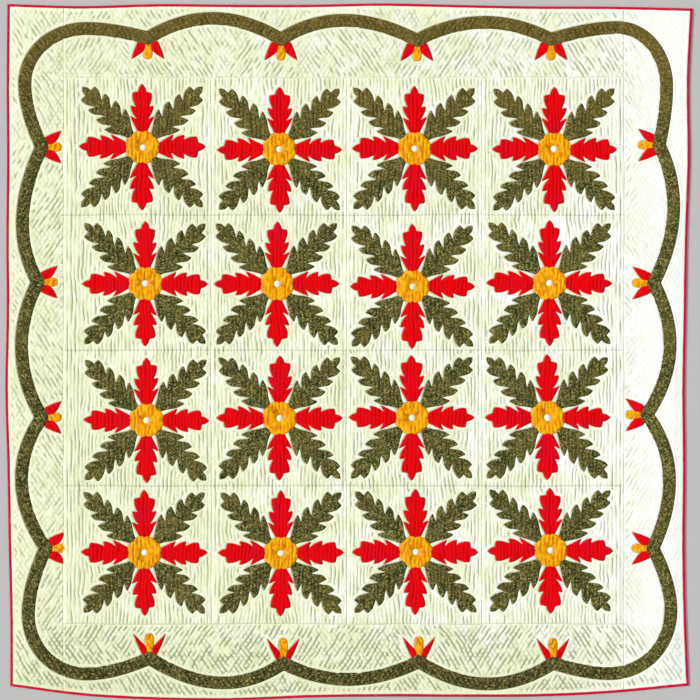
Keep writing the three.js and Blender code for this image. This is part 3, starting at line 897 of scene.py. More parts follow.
def hardness(points):
    """How hard each border is quilted: the foot the most, and the right side hardly at all."""
    x, y = points.T
    at_foot = ease((-y / HALF_LENGTH - HARD_FOOT[1]) / HARDNESS_EASE)
    at_right = ease((x / HALF_WIDTH - SOFT_RIGHT[1]) / HARDNESS_EASE)
    return 1 + HARD_FOOT[0] * at_foot - SOFT_RIGHT[0] * at_right


def slanting_lines(points):
    """How deep the cloth of the borders is drawn in by the two slanting sets of lines."""
    x, y = swayed(points).T
    region = soft_noise(x, y, LEAD_SIZE, 43)
    depth = np.zeros(len(points))
    for sign in (1, -1):
        place = (x * math.sin(SLANT) + sign * y * math.cos(SLANT)) / BORDER_PITCH
        run = sign * y * math.sin(SLANT) - x * math.cos(SLANT)
        lead = WEAK_SET + LEAD * ease(0.5 + 1.5 * sign * region)
        pull = lead * thread_pull(np.round(place), run, **BORDER_PULL)
        depth = np.maximum(depth, pull * between_lines(place - np.floor(place)))
    return np.minimum(depth * hardness(points), 1)


def slanting_lattice(low, high):
    """Points on the slanting lines and between them, in the box from low to high."""
    across = np.array([math.sin(SLANT), math.cos(SLANT)])
    places = np.array([[x, y] for x in (low[0], high[0]) for y in (low[1], high[1])])
    counts = (places @ (across * [[1, 1], [1, -1]]).T) * LATTICE_SPLIT / BORDER_PITCH
    first, last = np.floor(counts.min(0)) - 3, np.ceil(counts.max(0)) + 3
    u, v = np.meshgrid(np.arange(first[0], last[0]), np.arange(first[1], last[1]))
    u, v = u.ravel() * BORDER_PITCH / LATTICE_SPLIT, v.ravel() * BORDER_PITCH / LATTICE_SPLIT
    target = np.c_[(u + v) / 2, (u - v) / 2] / across
    target = target[((target > low) & (target < high)).all(1)]
    points = target.copy()
    for _ in range(8):
        points += target - swayed(points)
    return points


print("lattice points in 100 mm of border:", len(slanting_lattice(np.array([0, 900]), np.array([100, 1000]))))

# %% [markdown]
# ## Ground and patches in height
# Two functions turn distances into heights. The ground is low in the ditch round a patch, swells up to the
# echo line, and lies 1.4 mm deeper where a patch hides it. A patch is one more layer on that ground: it is
# held down at its own edge, and pressed flat where another piece covers it.

# %% Heights of ground and patches
PATCH_LIFT = 0.85
HIDDEN_DROP = 1.4
PRESSED = 0.5
LOOSE_SWELL = 0.9
# How wide the cloth takes to come out of a ditch or go under a piece, in mm.
DITCH = 5
SEAM_DITCH = 5
UNDER_EASE = 2.6
COVER_EASE = 2
LAP = (1.5, 3)
# A patch has one layer more, so its lines are a little shallower.
PATCH_DEPTH = 0.95
# Shade gathers only in the deepest part of a line, more widely on a patch, and hardly in the ditches.
GROUND_SHADE_POWER = 2.2
PATCH_SHADE_POWER = 1.6
DITCH_SHADE = 0.3


def ground(points, from_patch, lines, loose=0.0):
    """Height of the ground and the shade painted on it, mostly in its sewn lines. from_patch is below 0 under
    a patch, and loose is 1 where the cloth isn't drawn in and swells up instead."""
    level, stop = plain_level(points)
    calm = ease(stop / SEAM_DITCH) * ease((from_edge(points) - HELD_FLAT) / QUILTING_EASE) * (1 - loose)
    share = np.clip((from_patch - 1) / (ECHO - 1), 0, 1)
    swell = (1 - np.sin(np.pi * share) ** ECHO_POWER) * (1 - (1 - ECHO_PULL) * ease(share))
    beyond = np.maximum(lines, ECHO_PULL * (1 - ease((from_patch - ECHO) / 4)))
    drawn = np.where(from_patch < ECHO, swell, beyond) * calm
    height = level - DEPTH * drawn - HIDDEN_DROP * ease(-from_patch / UNDER_EASE) + LOOSE_SWELL * loose
    shade = np.where(from_patch < ECHO - 2, DITCH_SHADE * drawn, drawn**GROUND_SHADE_POWER) * calm
    return height, shade


def patch(points, own, lines, over=0.0, cover=None):
    """Height of a patch's face and the shade painted on it, mostly in its sewn lines and ditch. own is the
    distance to its edge and cover to the edge of the piece over it, both below 0 inside. over lifts it where
    it laps over others."""
    level = plain_level(points)[0]
    drawn = np.maximum(PATCH_DEPTH * lines, 1 - ease(-own / DITCH))
    pressed = 0.0
    if cover is not None:
        drawn = np.maximum(drawn, 1 - ease(cover / DITCH))
        pressed = PRESSED * ease(-cover / COVER_EASE)
    shade = np.maximum(lines**PATCH_SHADE_POWER, DITCH_SHADE * (1 - ease(-own / 3)))
    return level + PATCH_LIFT + over - DEPTH * drawn - pressed, shade


def lapped(from_lower):
    """How far a piece is raised where it laps over a lower one."""
    return PATCH_LIFT * ease((LAP[0] - from_lower) / LAP[1])


sample = np.full((3, 2), 200.0)
on_line, between = np.ones(3), np.zeros(3)
print("ground on a line and between lines, mm:", ground(sample, on_line * 50, on_line)[0][0].round(2), end=" ")
print(ground(sample, on_line * 50, between)[0][0].round(2))


# %% [markdown]
# ## The cut shapes
# The maker folded paper, cut one leaf and one petal, and drew round them on the cloth. Each half outline is
# a row of lobes, given by its tip, the notch after it and how full its flank is, in mm from the block's
# middle. Cutting and sewing by hand never repeats a shape exactly, so every block is bent a little by its
# own smooth noise.

# %% Leaf, petal and rosette
# Lobes: tip along the axis, tip across, notch along, notch across, then how full the flank is near and far.
LEAF = {
    "root": [(38, 8, 2), (55, 13, 8)],
    "lobes": [
        (120, 46, 109, 21, 0.28, 0.76),
        (158, 42, 147, 14, 0.36, 1.0),
        (197, 36, 187, 12, 0.36, 1.0),
        (235, 29, 234, 10.5, 0.5, 1.0),
    ],
    "tip": [(250, 10, 6), (262, 0, 3)],
}
PETAL = {
    "root": [(38, 8, 2), (52, 16, 8)],
    "lobes": [
        (96, 38.5, 86, 16.5, 0.26, 0.62),
        (128, 36.5, 125, 21, 0.42, 0.82),
        (166, 30.5, 169.5, 12.5, 0.5, 1.0),
    ],
    "tip": [(181, 10, 7), (193, 0, 3)],
}
TIP_RADIUS = 4
NOTCH_RADIUS = 1.8
# Where a lobe's flank is given, near the notch and near the tip: share of the way there, and corner radius.
NEAR_FLANK = (0.26, 8)
FAR_FLANK = (0.6, 13)
ROSETTE = {"valley": 46.0, "crown": 51.5, "scallops": 8, "hole": 10.5}
# The hole is so small that the cloth round it is counted as less far away, and so is drawn in less.
HOLE_SHARE = 0.45
# How far hand cutting strays, over what length.
HAND_CUT = 2.5
HAND_SIZE = 58
QUARTER = math.pi / 2


def lobed(shape):
    """The closed outline of a leaf or petal along the X axis, starting at the middle of its root."""
    half = list(shape["root"])
    for tip, reach, notch, waist, near, far in shape["lobes"]:
        along, across = half[-1][:2]
        for (share, radius), fullness in ((NEAR_FLANK, near), (FAR_FLANK, far)):
            half.append((along + share * (tip - along), across + fullness * (reach - across), radius))
        half += [(tip, reach, TIP_RADIUS), (notch, waist, NOTCH_RADIUS)]
    half += shape["tip"]
    mirrored = [(along, -across, radius) for along, across, radius in half[-2::-1]]
    return rounded([(half[0][0], 0, 0), *half, *mirrored])


def rosette_radius(angle):
    """How far out the rosette's scalloped edge lies in each direction."""
    share = (angle / (2 * math.pi) * ROSETTE["scallops"]) % 1
    return ROSETTE["valley"] + (ROSETTE["crown"] - ROSETTE["valley"]) * np.sin(np.pi * share) ** 0.6


LEAF_OUTLINE = lobed(LEAF)
PETAL_OUTLINE = lobed(PETAL)
around = np.linspace(0, 2 * math.pi, 96, endpoint=False)
ROSETTE_OUTLINE = np.c_[np.cos(around), np.sin(around)] * rosette_radius(around)[:, None]
around = np.linspace(0, 2 * math.pi, 24, endpoint=False)
ROSETTE_HOLE = np.c_[np.cos(around), np.sin(around)] * ROSETTE["hole"]
LEAF_AXIS = math.pi / 4
PETAL_AXIS = 0.0


def cut_area(outline):
    """How much cloth an outline takes, in square millimetres."""
    return abs(area_of(outline))


print("leaf, petal, mm2:", round(cut_area(LEAF_OUTLINE)), round(cut_area(PETAL_OUTLINE)))

# %% [markdown]
# Each block has four leaves on its diagonals, four petals on its axes and the rosette over their roots. The
# motif knows where each of them lies, and how far any point of the quilt is from it.

# %% The motif of a block
def turned(points, angle):
    """Points turned round the middle."""
    c, s = math.cos(angle), math.sin(angle)
    return points @ np.array([[c, s], [-s, c]])


def from_arms(points, outline, axis):
    """Distance to the nearest of four equal arms round the middle, below 0 inside them."""
    angle = np.arctan2(points[:, 1], points[:, 0]) - axis
    quarter = np.round(angle / QUARTER) * QUARTER + axis
    c, s = np.cos(quarter), np.sin(quarter)
    folded = np.c_[points[:, 0] * c + points[:, 1] * s, np.abs(points[:, 1] * c - points[:, 0] * s) + 1e-6]
    half = outline[: np.argmax(outline[:, 0]) + 1]
    away = distance_to(folded, half[:-1], half[1:])
    return np.where(inside(folded, [half]), -away, away)


def from_rosette(points):
    """Distance to the rosette's edge or hole, below 0 on its cloth."""
    radius = np.hypot(*points.T)
    angle = np.arctan2(points[:, 1], points[:, 0]) % (2 * math.pi)
    return np.maximum(radius - rosette_radius(angle), (ROSETTE["hole"] - radius) * HOLE_SHARE)


class Motif:
    """One block's sewn-on shapes, in their own place and with their own unevenness."""

    def __init__(self, middle, seed):
        self.middle = middle
        self.seed = seed

    def bend(self, points):
        """How far the maker's hand strayed at each place."""
        x, y = points.T
        strays = [soft_noise(x, y, HAND_SIZE, seed) for seed in (self.seed, self.seed + 50)]
        return HAND_CUT * np.array(strays).T

    def drawn(self, points):
        """Where points of the quilt lie on the maker's drawing."""
        return points + self.bend(points) - self.middle

    def sewn(self, points):
        """Where points of the drawing lie on the quilt."""
        placed = points + self.middle
        found = placed.copy()
        for _ in range(4):
            found = placed - self.bend(found)
        return found

    def arms(self, outline, axis):
        """Four equal shapes round the middle, as they lie on the quilt."""
        return [self.sewn(turned(outline, axis + k * QUARTER)) for k in range(4)]

    def distances(self, points):
        """Distance to the nearest leaf, the nearest petal and the rosette, each below 0 inside."""
        place = self.drawn(points)
        return (
            from_arms(place, LEAF_OUTLINE, LEAF_AXIS),
            from_arms(place, PETAL_OUTLINE, PETAL_AXIS),
            from_rosette(place),
        )


sample = Motif(np.zeros(2), 1).distances(np.array([[100.0, 0], [100, 100]]))
print("from a petal's and a leaf's middle to the nearest leaf, petal and rosette, mm:")
print(np.round(sample, 1).T)


# %% [markdown]
# ## Points beside the outlines
# The relief beside a sewn edge is much finer than in the open, so rows of points run along every outline at
# the distances where the cloth turns: in the ditch, up the swell, on the echo line. A row is kept only
# where no other outline comes nearer, so rows never cross.

# %% Rows of points beside outlines
# Distances of the rows from an outline, out over the ground and in on the patch, and where the open lattice
# starts.
GROUND_ROWS = [0.9, 3.3, 6.2, ECHO, 11.4]
GROUND_CLEAR = 12.6
PATCH_ROWS = [-2.3, -5.2]
PATCH_CLEAR = 7.0
SMALL_PATCH_ROWS = [-2.6]
# The one row of ground under a patch's edge, with its gap from point to point.
UNDER_ROW = [-2.8]
UNDER_GAP = 8
HOLE_ROWS = [0, 4, 7.5, 10]
# Steps in mm along a row, along an outline before it is moved out, up a block, and where a patch hides the
# ground.
ROW_GAP = 4.4
FINE_STEP = 1.3
ROW_STEP = 6.5
HIDDEN_STEP = 20
# How far off its distance a row may be beside a corner, and how near an outline or a seam a point may come.
ROW_SLIP = 0.35
EDGE_CLEAR = 1.2
SEAM_CLEAR = 2.2
# Only ground this far inside a patch is hidden enough for the coarse lattice.
HIDDEN_CLEAR = 8
# The hidden side of blocks and patches needs few points.
PANEL_BACK_STEP = 60
PATCH_BACK_STEP = 16
PATCH_BACK_CLEAR = 6


def thinned(run, gap):
    """Points in order, without those nearer than gap to the last one kept."""
    kept = [0]
    for k in range(1, len(run)):
        if abs(run[k][0] - run[kept[-1]][0]) + abs(run[k][1] - run[kept[-1]][1]) >= gap:
            kept.append(k)
    return run[kept]


def apart(points, cell=1.7):
    """One point for each small cell, which thins out points that lie almost on each other."""
    _, first = np.unique(np.floor(points / cell).astype(int), axis=0, return_index=True)
    return points[np.sort(first)]


def rows_beside(loops, rows, distance, gap):
    """Points at each signed distance in rows from the loops, where that is their true distance."""
    found = []
    for offset in rows:
        for loop in loops:
            run = spaced(anticlockwise(loop), FINE_STEP)
            run = run + outward(run) * offset
            true = distance(run)
            near = true > offset - ROW_SLIP if offset > 0 else true < offset + ROW_SLIP
            if near.any():
                found.append(thinned(run[near], gap))
    return apart(np.vstack(found))


def coarse(low, high, step):
    """An even staggered lattice from low to high."""
    x, y = np.meshgrid(np.arange(low[0], high[0], step), np.arange(low[1], high[1], step))
    x = x + np.where(np.arange(len(x)) % 2, step / 2, 0)[:, None]
    return np.c_[x.ravel(), y.ravel()]


def between_rows(lattice, away, rows, clear):
    """Lattice points in the open, and nearer an outline only where its rows leave a gap."""
    close = lattice[(away > EDGE_CLEAR) & (away <= clear)]
    missed = close[distance_to(close, rows, rows, 6) > ROW_GAP]
    return np.vstack([lattice[away > clear], missed])


sample = rows_beside([LEAF_OUTLINE], [ECHO], lambda run: np.full(len(run), ECHO), ROW_GAP)
print("points on the echo line of a leaf:", len(sample))

# %% [markdown]
# The panels meet at the seams with the very same points, so that no gap opens between them. Over a level
# seam there is a point on each quarter line of the quilting, because the lines run on from block to block.

# %% Points along the seams
def seam_run(k, start, end, upright, spacing=5.0):
    """Points along seam k from start to end, without the last one."""
    along = np.linspace(start, end, max(2, int(abs(end - start) / spacing)), endpoint=False)
    return np.c_[seam_x(k, along), along] if upright else np.c_[along, seam_y(k, along)]


def crossing(k, j):
    """Where upright seam k meets level seam j."""
    x, y = float(SEAMS_X[k]), float(SEAMS_Y[j])
    for _ in range(5):
        x, y = float(seam_x(k, np.array([y]))[0]), float(seam_y(j, np.array([x]))[0])
    return x, y


def level_run(j, k):
    """Points along level seam j over column k of the blocks, from upright seam k: one on each quarter
    line."""
    left, right = SEAMS_X[k], SEAMS_X[k + 1]
    columns = quarter_lines(left, right)
    x = columns
    for _ in range(10):
        x = columns - wave_of(np.c_[x, seam_y(j, x)], left, right)
    start, end = crossing(k, j), crossing(k + 1, j)
    x = x[(x > start[0] + EDGE_CLEAR) & (x < end[0] - EDGE_CLEAR)]
    return np.vstack([[start], np.c_[x, seam_y(j, x)], [end]])


print("first crossing of seams, mm:", crossing(0, 0))

# %% [markdown]
# ## The blocks
# Sixteen squares of muslin, each a low cushion with its four leaves, four petals and a rosette. One
# function makes a block's ground, the others its patches. All share one lattice of points, so the quilting
# runs straight through ground and patches, as it does in a quilt that is quilted after the top is finished.

# %% Panels and patches
PANEL_UNDER = 1.6
# A patch's edge is rolled down in two steps: how far out each goes, and how far below the face it lies.
ROLL = [(0.32, 0.28), (0.12, 0.8)]
PATCH_UNDER = 1.75


def panel(name, ring, inner, height, row_points):
    """A block or border strip: the ring just inside its seams, its face points, and its height function."""
    ring = anticlockwise(ring)
    plan, corners = filled([ring], inner)
    face_z, groove = height(plan)
    made = cloth(
        name,
        plan,
        corners,
        face_z,
        [(0.0, lambda place: np.full(len(place), PANEL_UNDER))],
        lambda points: np.full(len(points), PANEL_UNDER),
        row_points[inside(row_points, [ring - outward(ring) * 8])],
        WHITE_MUSLIN,
        "white_muslin",
        groove,
    )
    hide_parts("quilt_body")
    return made


def make_patches(name, loops, inner, height, material, slot, nodes, under_inner):
    """Sewn-on patches: their outlines, the points inside, and a height function of points and own
    distance."""
    plan, corners = filled(loops, inner)
    face_z, groove = height(plan)
    made = cloth(
        name,
        plan,
        corners,
        face_z,
        [(out, lambda place, drop=drop: height(place)[0] - drop) for out, drop in ROLL],
        lambda points: plain_level(points)[0] - PATCH_UNDER,
        under_inner,
        material,
        slot,
        groove,
    )
    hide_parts(*nodes)
    return made


# %% [markdown]
# A block's ground runs on a little way under its patches, where nobody sees it, and comes up through the
# hole of the rosette. Its points are the lattice of the quilting in the open and rows beside each outline.

# %% The sixteen blocks
def make_block(row, column):
    """One block's ground, leaves, petals and rosette."""
    name = f"r{row + 1}c{column + 1}"
    left, right = SEAMS_X[column], SEAMS_X[column + 1]
    high, low = SEAMS_Y[row], SEAMS_Y[row + 1]
    a_low, a_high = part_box(f"rosette_{name}")
    middle = [(a_low[k] + a_high[k]) / 2 / MM - shift for k, shift in ((0, SHIFT_X), (1, SHIFT_Y))]
    motif = Motif(np.array(middle), 100 + 10 * row + column)
    leaves = motif.arms(LEAF_OUTLINE, LEAF_AXIS)
    petals = motif.arms(PETAL_OUTLINE, PETAL_AXIS)
    rosette = [motif.sewn(ROSETTE_OUTLINE), motif.sewn(ROSETTE_HOLE)]

    def nearest(points):
        return np.minimum.reduce(motif.distances(points))

    def in_panel(points, clear):
        x, y = points.T
        wide = (x > seam_x(column, y) + clear) & (x < seam_x(column + 1, y) - clear)
        return wide & (y < seam_y(row, x) - clear) & (y > seam_y(row + 1, x) + clear)

    head, foot = level_run(row, column), level_run(row + 1, column)
    down = seam_run(column, head[0][1], foot[0][1], True)
    up = seam_run(column + 1, foot[-1][1], head[-1][1], True)
    ring = np.vstack([down, foot[:-1], up, head[:0:-1]])
    lattice = upright_lattice(left, right, low, high, ROW_STEP)
    lattice = lattice[in_panel(lattice, SEAM_CLEAR)]
    away = nearest(lattice)
    outlines = [*leaves, *petals, *rosette]
    halo = rows_beside(outlines, GROUND_ROWS, nearest, ROW_GAP)
    under = rows_beside(outlines, UNDER_ROW, nearest, UNDER_GAP)
    hidden = coarse((left, low), (right, high), HIDDEN_STEP)
    hidden = hidden[nearest(hidden) < -HIDDEN_CLEAR]
    rings = [ROSETTE_HOLE * radius / ROSETTE["hole"] for radius in HOLE_ROWS]
    hole = motif.sewn(apart(np.vstack(rings), 2.2))
    beside = np.vstack([halo, under])
    beside = beside[in_panel(beside, SEAM_CLEAR)]
    inner = np.vstack([between_rows(lattice, away, halo, GROUND_CLEAR), beside, hidden, hole])

    def ground_height(points):
        in_hole = ease((ROSETTE["hole"] - 1.5 - np.hypot(*motif.drawn(points).T)) / 3)
        return ground(points, nearest(points), upright_lines(points, left, right), in_hole)

    sparse = coarse((left, low), (right, high), PANEL_BACK_STEP)
    block = panel(f"block_{name}", ring, inner, ground_height, sparse)

    def patch_points(loops, own):
        rows = rows_beside(loops, PATCH_ROWS, own, ROW_GAP)
        inner = np.vstack([lattice[own(lattice) < -PATCH_CLEAR], rows])
        wide = coarse((left, low), (right, high), PATCH_BACK_STEP)
        return inner, wide[own(wide) < -PATCH_BACK_CLEAR]

    for kind, loops, which, material, slot in (
        ("leaves", leaves, 0, GREEN_PRINT, "green_print"),
        ("petals", petals, 1, RED_COTTON, "red_cotton"),
    ):

        def own(points, which=which):
            return motif.distances(points)[which]

        def height(points, which=which):
            distances = motif.distances(points)
            lines = upright_lines(points, left, right)
            return patch(points, distances[which], lines, cover=distances[2])

        inner, wide = patch_points(loops, own)
        node = f"{kind}_{name}"
        made = make_patches(f"{kind}_cloth_{name}", loops, inner, height, material, slot, [node], wide)
        outline = LEAF_OUTLINE if kind == "leaves" else PETAL_OUTLINE
        4 * cut_area(outline)

    def on_rosette(points):
        return motif.distances(points)[2]

    def rosette_height(points):
        to_leaf, to_petal, own_distance = motif.distances(points)
        lines = upright_lines(points, left, right)
        return patch(points, own_distance, lines, lapped(np.minimum(to_leaf, to_petal)))

    inner, wide = patch_points(rosette, on_rosette)
    made = make_patches(
        f"rosette_cloth_{name}",
        rosette,
        inner,
        rosette_height,
        GOLD_COTTON,
        "gold_cotton",
        [f"rosette_{name}"],
        wide[:0],
    )
    wide = 2 * ROSETTE["crown"]
    cut_area(ROSETTE_OUTLINE) - cut_area(ROSETTE_HOLE)


for row in range(BLOCKS_A_SIDE):
    for column in range(BLOCKS_A_SIDE):
        make_block(row, column)
print("triangles so far:", sum(triangle_counts.values()), "most in one:", max(triangle_counts.values()))

# %% [markdown]
# ## The vine and its buds
# A bias strip 39 mm wide runs right round the border in shallow arcs. Over each outer block two arcs meet
# in a cusp, sharp outside and blunt inside, and a bud of two red petals and a gold tongue hangs there with
# its roots under the vine. The tables place each cusp and the crest after it by its distance along the side
# and in from the edge.

# %% Course of the vine
VINE_WIDTH = 39
VINE_SIDES = {
    "top": {
        "cusps": [(-610, 102), (-202, 106), (215, 109), (626, 106)],
        "crests": [(-408, 42), (-6, 48), (420, 54)],
        "leave": (830, 70),
        "join": (809, 62),
        "bud": (64, 30),
    },
    "right": {
        "cusps": [(631, 85), (208, 102), (-196, 123), (-605, 104)],
        "crests": [(426, 41), (3, 52), (-384, 54)],
        "leave": (-794, 49),
        "join": (804, 72),
        "bud": (64, 30),
    },
    "bottom": {
        "cusps": [(632, 104), (221, 109), (-195, 104), (-605, 119)],
        "crests": [(429, 40), (9, 54), (-390, 44)],
        "leave": (-797, 71),
        "join": (-807, 66),
        "bud": (76, 21),
    },
    "left": {
        "cusps": [(-605, 119), (-204, 107), (211, 95), (625, 107)],
        "crests": [(-401, 45), (3, 45), (403, 48)],
        "leave": (818, 55),
        "join": (-797, 73),
        "bud": (60, 30),
    },
}


def on_side(side, along, inset):
    """A place given along a side and in from the straight edge there, as x and y."""
    if side in LEVEL_SIDES:
        return np.array([along, OUT[side] * (HALF_LENGTH - inset)], float)
    return np.array([OUT[side] * (HALF_WIDTH - inset), along], float)


def curve(*handles, spacing=3.0):
    """A Bezier curve through its handles, as points about spacing apart."""
    handles = np.array(handles, float)
    length = np.linalg.norm(np.diff(handles, axis=0), axis=1).sum()
    t = np.linspace(0, 1, max(3, int(length / spacing)))[:, None]
    degree = len(handles) - 1
    return sum(math.comb(degree, k) * (1 - t) ** (degree - k) * t**k * handles[k] for k in range(degree + 1))


def vine_arcs():
    """The vine's middle line, clockwise, as smooth arcs that meet in cusps."""
    arcs = []
    for k, side in enumerate(SIDES):
        following = SIDES[(k + 1) % 4]
        plan, after = VINE_SIDES[side], VINE_SIDES[following]
        cusps = [on_side(side, *cusp) for cusp in plan["cusps"]]
        crests = [on_side(side, *crest) for crest in plan["crests"]]
        for start, crest, end in zip(cusps, crests, cusps[1:]):
            arcs.append(curve(start, 2 * crest - (start + end) / 2, end))
        (cusp_along, _), (leave_along, leave_inset) = plan["cusps"][-1], plan["leave"]
        (next_along, _), (join_along, join_inset) = after["cusps"][0], plan["join"]
        leave, join = on_side(side, leave_along, leave_inset), on_side(following, join_along, join_inset)
        run_in = on_side(side, cusp_along + 0.58 * (leave_along - cusp_along), leave_inset)
        run_out = on_side(following, next_along + 0.58 * (join_along - next_along), join_inset)
        level = side in LEVEL_SIDES
        meet = np.array([join[0], leave[1]]) if level else np.array([leave[0], join[1]])
        corner = [
            curve(cusps[-1], run_in, leave),
            curve(leave, leave + 0.56 * (meet - leave), join + 0.56 * (meet - join), join),
            curve(join, run_out, on_side(following, *after["cusps"][0])),
        ]
        arcs.append(np.vstack([corner[0][:-1], corner[1][:-1], corner[2]]))
    return arcs


VINE_ARCS = vine_arcs()
VINE_LINE = np.vstack([arc[:-1] for arc in VINE_ARCS])


def from_line(points):
    """Distance to the vine's edge, below 0 on the vine."""
    return distance_to(points, *segments([VINE_LINE]), FAR + VINE_WIDTH / 2) - VINE_WIDTH / 2


def vine_edge(side):
    """One edge of the vine as a closed loop: side 1 is outside the ring, -1 inside."""
    run = []
    for k, arc in enumerate(VINE_ARCS):
        heading = np.gradient(arc, axis=0)
        heading /= np.linalg.norm(heading, axis=1, keepdims=True)
        across = np.c_[-heading[:, 1], heading[:, 0]] * side
        run.append(arc + across * VINE_WIDTH / 2)
        after = VINE_ARCS[(k + 1) % len(VINE_ARCS)]
        first = after[1] - after[0]
        next_across = np.array([-first[1], first[0]]) / np.linalg.norm(first) * side
        for t in np.linspace(0, 1, 12)[1:-1]:
            middle = (1 - t) * across[-1] + t * next_across
            run.append((arc[-1] + middle / np.linalg.norm(middle) * VINE_WIDTH / 2)[None])
    run = np.vstack(run)
    run = run[from_line(run) > -0.15]
    return spaced(thinned(run, 2.4), 3.6)


VINE_LOOPS = [vine_edge(1), vine_edge(-1)]

# %% [markdown]
# A bud's two petals are slim and pointed and lean away from each other. The tongue between them is a short
# strip with a rounded end. The petals' inner edges lap over it, and the vine laps over all three.

# %% Shapes of the buds
BUD_TONGUE_HALF = 13.5
BUD_TONGUE_TIP = 8
BUD_TIP_ACROSS = 50
BUD_FORK = (11, 40)


def bud_outlines(side, cusp, reach, base):
    """Two petals and a tongue at one cusp, as closed outlines on the quilt."""
    root = on_side(side, *cusp)
    inward = on_side(side, 0, 1) - on_side(side, 0, 0)
    across = np.array([-inward[1], inward[0]])

    def placed(corners):
        return rounded([(*(root + u * across + v * inward), radius) for u, v, radius in corners], 3.0)

    found = []
    for hand in (1, -1):
        flank = ((base + BUD_TIP_ACROSS) / 2 + 2.5, (10 + reach) / 2)
        found.append(
            placed(
                [
                    (hand * 6, 4, 2),
                    (hand * base, 9, 5),
                    (hand * flank[0], flank[1], 18),
                    (hand * BUD_TIP_ACROSS, reach, 2.5),
                    (hand * (BUD_FORK[0] + 13), BUD_FORK[1] + 8, 8),
                    (hand * BUD_FORK[0], BUD_FORK[1] - 4, 6),
                ]
            )
        )
    tongue = [
        (8, 8, 2),
        (BUD_TONGUE_HALF, 0.62 * reach, 9),
        (BUD_TONGUE_HALF, 0.84 * reach, 8),
        (BUD_TONGUE_TIP, reach, 7),
    ]
    found.append(placed(tongue + [(-u, v, radius) for u, v, radius in tongue[::-1]]))
    return [anticlockwise(loop) for loop in found]


def from_loops(points, loops):
    """Distance to the nearest of separate loops, below 0 inside one."""
    away = distance_to(points, *segments(loops))
    return np.where(np.any([inside(points, [loop]) for loop in loops], axis=0), -away, away)


BUDS = {}
for side, plan in VINE_SIDES.items():
    BUDS[side] = [bud_outlines(side, cusp, *plan["bud"]) for cusp in plan["cusps"]]
BUD_PETALS = {side: [loop for bud in buds for loop in bud[:2]] for side, buds in BUDS.items()}
BUD_TONGUES = {side: [bud[2] for bud in buds] for side, buds in BUDS.items()}
ALL_PETALS = [loop for side in SIDES for loop in BUD_PETALS[side]]
ALL_TONGUES = [loop for side in SIDES for loop in BUD_TONGUES[side]]
print("bud petals and tongues:", len(ALL_PETALS), len(ALL_TONGUES))

# %% [markdown]
# ## The borders
# Four strips of the same muslin. The side strips run the full length and the head and foot strips lie
# between them. They thin towards the edge, where the binding holds them.

# %% Border strips, vine and buds
EDGE_IN = 1.8
STRIP_EDGE_ROWS = [8.2, 9.8, 14.0]
RING_STEP = 4.6
EDGE_ROW_GAP = 5.2
OPEN_FROM_EDGE = 17


def corner_at(level_side, upright_side, inset):
    """Where the edges of two sides meet, at a distance in from both."""
    up = 1 if level_side == "top" else -1
    out = 1 if upright_side == "right" else -1
    x, y = out * HALF_WIDTH, up * HALF_LENGTH
    for _ in range(6):
        x, y = out * (float(reach_of(upright_side, y)) - inset), up * (float(reach_of(level_side, x)) - inset)
    return x, y


def beside_edge(side, along, inset):
    """Points at places along a side, at an inset from its edge."""
    out = OUT[side] * (reach_of(side, along) - inset)
    return np.c_[along, out] if side in LEVEL_SIDES else np.c_[out, along]


def edge_run(side, start, end, inset, spacing):
    """Points along a side's edge at an inset, from start to end, without the last one."""
    along = np.linspace(start, end, max(2, int(abs(end - start) / spacing)), endpoint=False)
    return beside_edge(side, along, inset)


def ends_of(side, inset):
    """Where a side starts and ends at an inset, clockwise: along X on the level sides, along Y on the
    others."""
    if side in LEVEL_SIDES:
        ends = [corner_at(side, "left", inset)[0], corner_at(side, "right", inset)[0]]
    else:
        ends = [corner_at("bottom", side, inset)[1], corner_at("top", side, inset)[1]]
    return ends if side in ("top", "left") else ends[::-1]


def seam_end(k, side, inset):
    """Where upright seam k meets the edge of the head or foot side, at an inset."""
    sign = 1 if side == "top" else -1
    x = float(SEAMS_X[k])
    for _ in range(5):
        y = sign * (float(reach_of(side, x)) - inset)
        x = float(seam_x(k, np.array([y]))[0])
    return x, y


def strip_ring(side):
    """The outline of one border strip."""
    if side in ("left", "right"):
        k = 0 if side == "left" else 4
        top, bottom = corner_at("top", side, EDGE_IN), corner_at("bottom", side, EDGE_IN)
        seam_top, seam_bottom = seam_end(k, "top", EDGE_IN), seam_end(k, "bottom", EDGE_IN)
        inner = [seam_top[1], crossing(k, 0)[1], crossing(k, 4)[1], seam_bottom[1]]
        return np.vstack(
            [
                edge_run(side, bottom[1], top[1], EDGE_IN, RING_STEP),
                edge_run("top", top[0], seam_top[0], EDGE_IN, RING_STEP),
                *(seam_run(k, start, end, True) for start, end in zip(inner, inner[1:])),
                edge_run("bottom", seam_bottom[0], bottom[0], EDGE_IN, RING_STEP),
            ]
        )
    j = 0 if side == "top" else 4
    left, right = seam_end(0, side, EDGE_IN), seam_end(4, side, EDGE_IN)
    near_left, near_right = crossing(0, j), crossing(4, j)
    return np.vstack(
        [
            edge_run(side, left[0], right[0], EDGE_IN, RING_STEP),
            seam_run(4, right[1], near_right[1], True),
            seam_run(j, near_right[0], near_left[0], False),
            seam_run(0, near_left[1], left[1], True),
        ]
    )


def from_patches(points):
    """Distance to the nearest patch of the border."""
    buds = [from_loops(points, loops) for loops in (ALL_PETALS, ALL_TONGUES)]
    return np.minimum.reduce([from_line(points), *buds])


def border_ground(points):
    """Height of a border's ground and the shade painted on it, mostly in its sewn lines."""
    return ground(points, from_patches(points), slanting_lines(points))


def at_edge(side, inset, gap):
    """A row of points right along one side."""
    return edge_run(side, *sorted(ends_of(side, inset)), inset, gap)


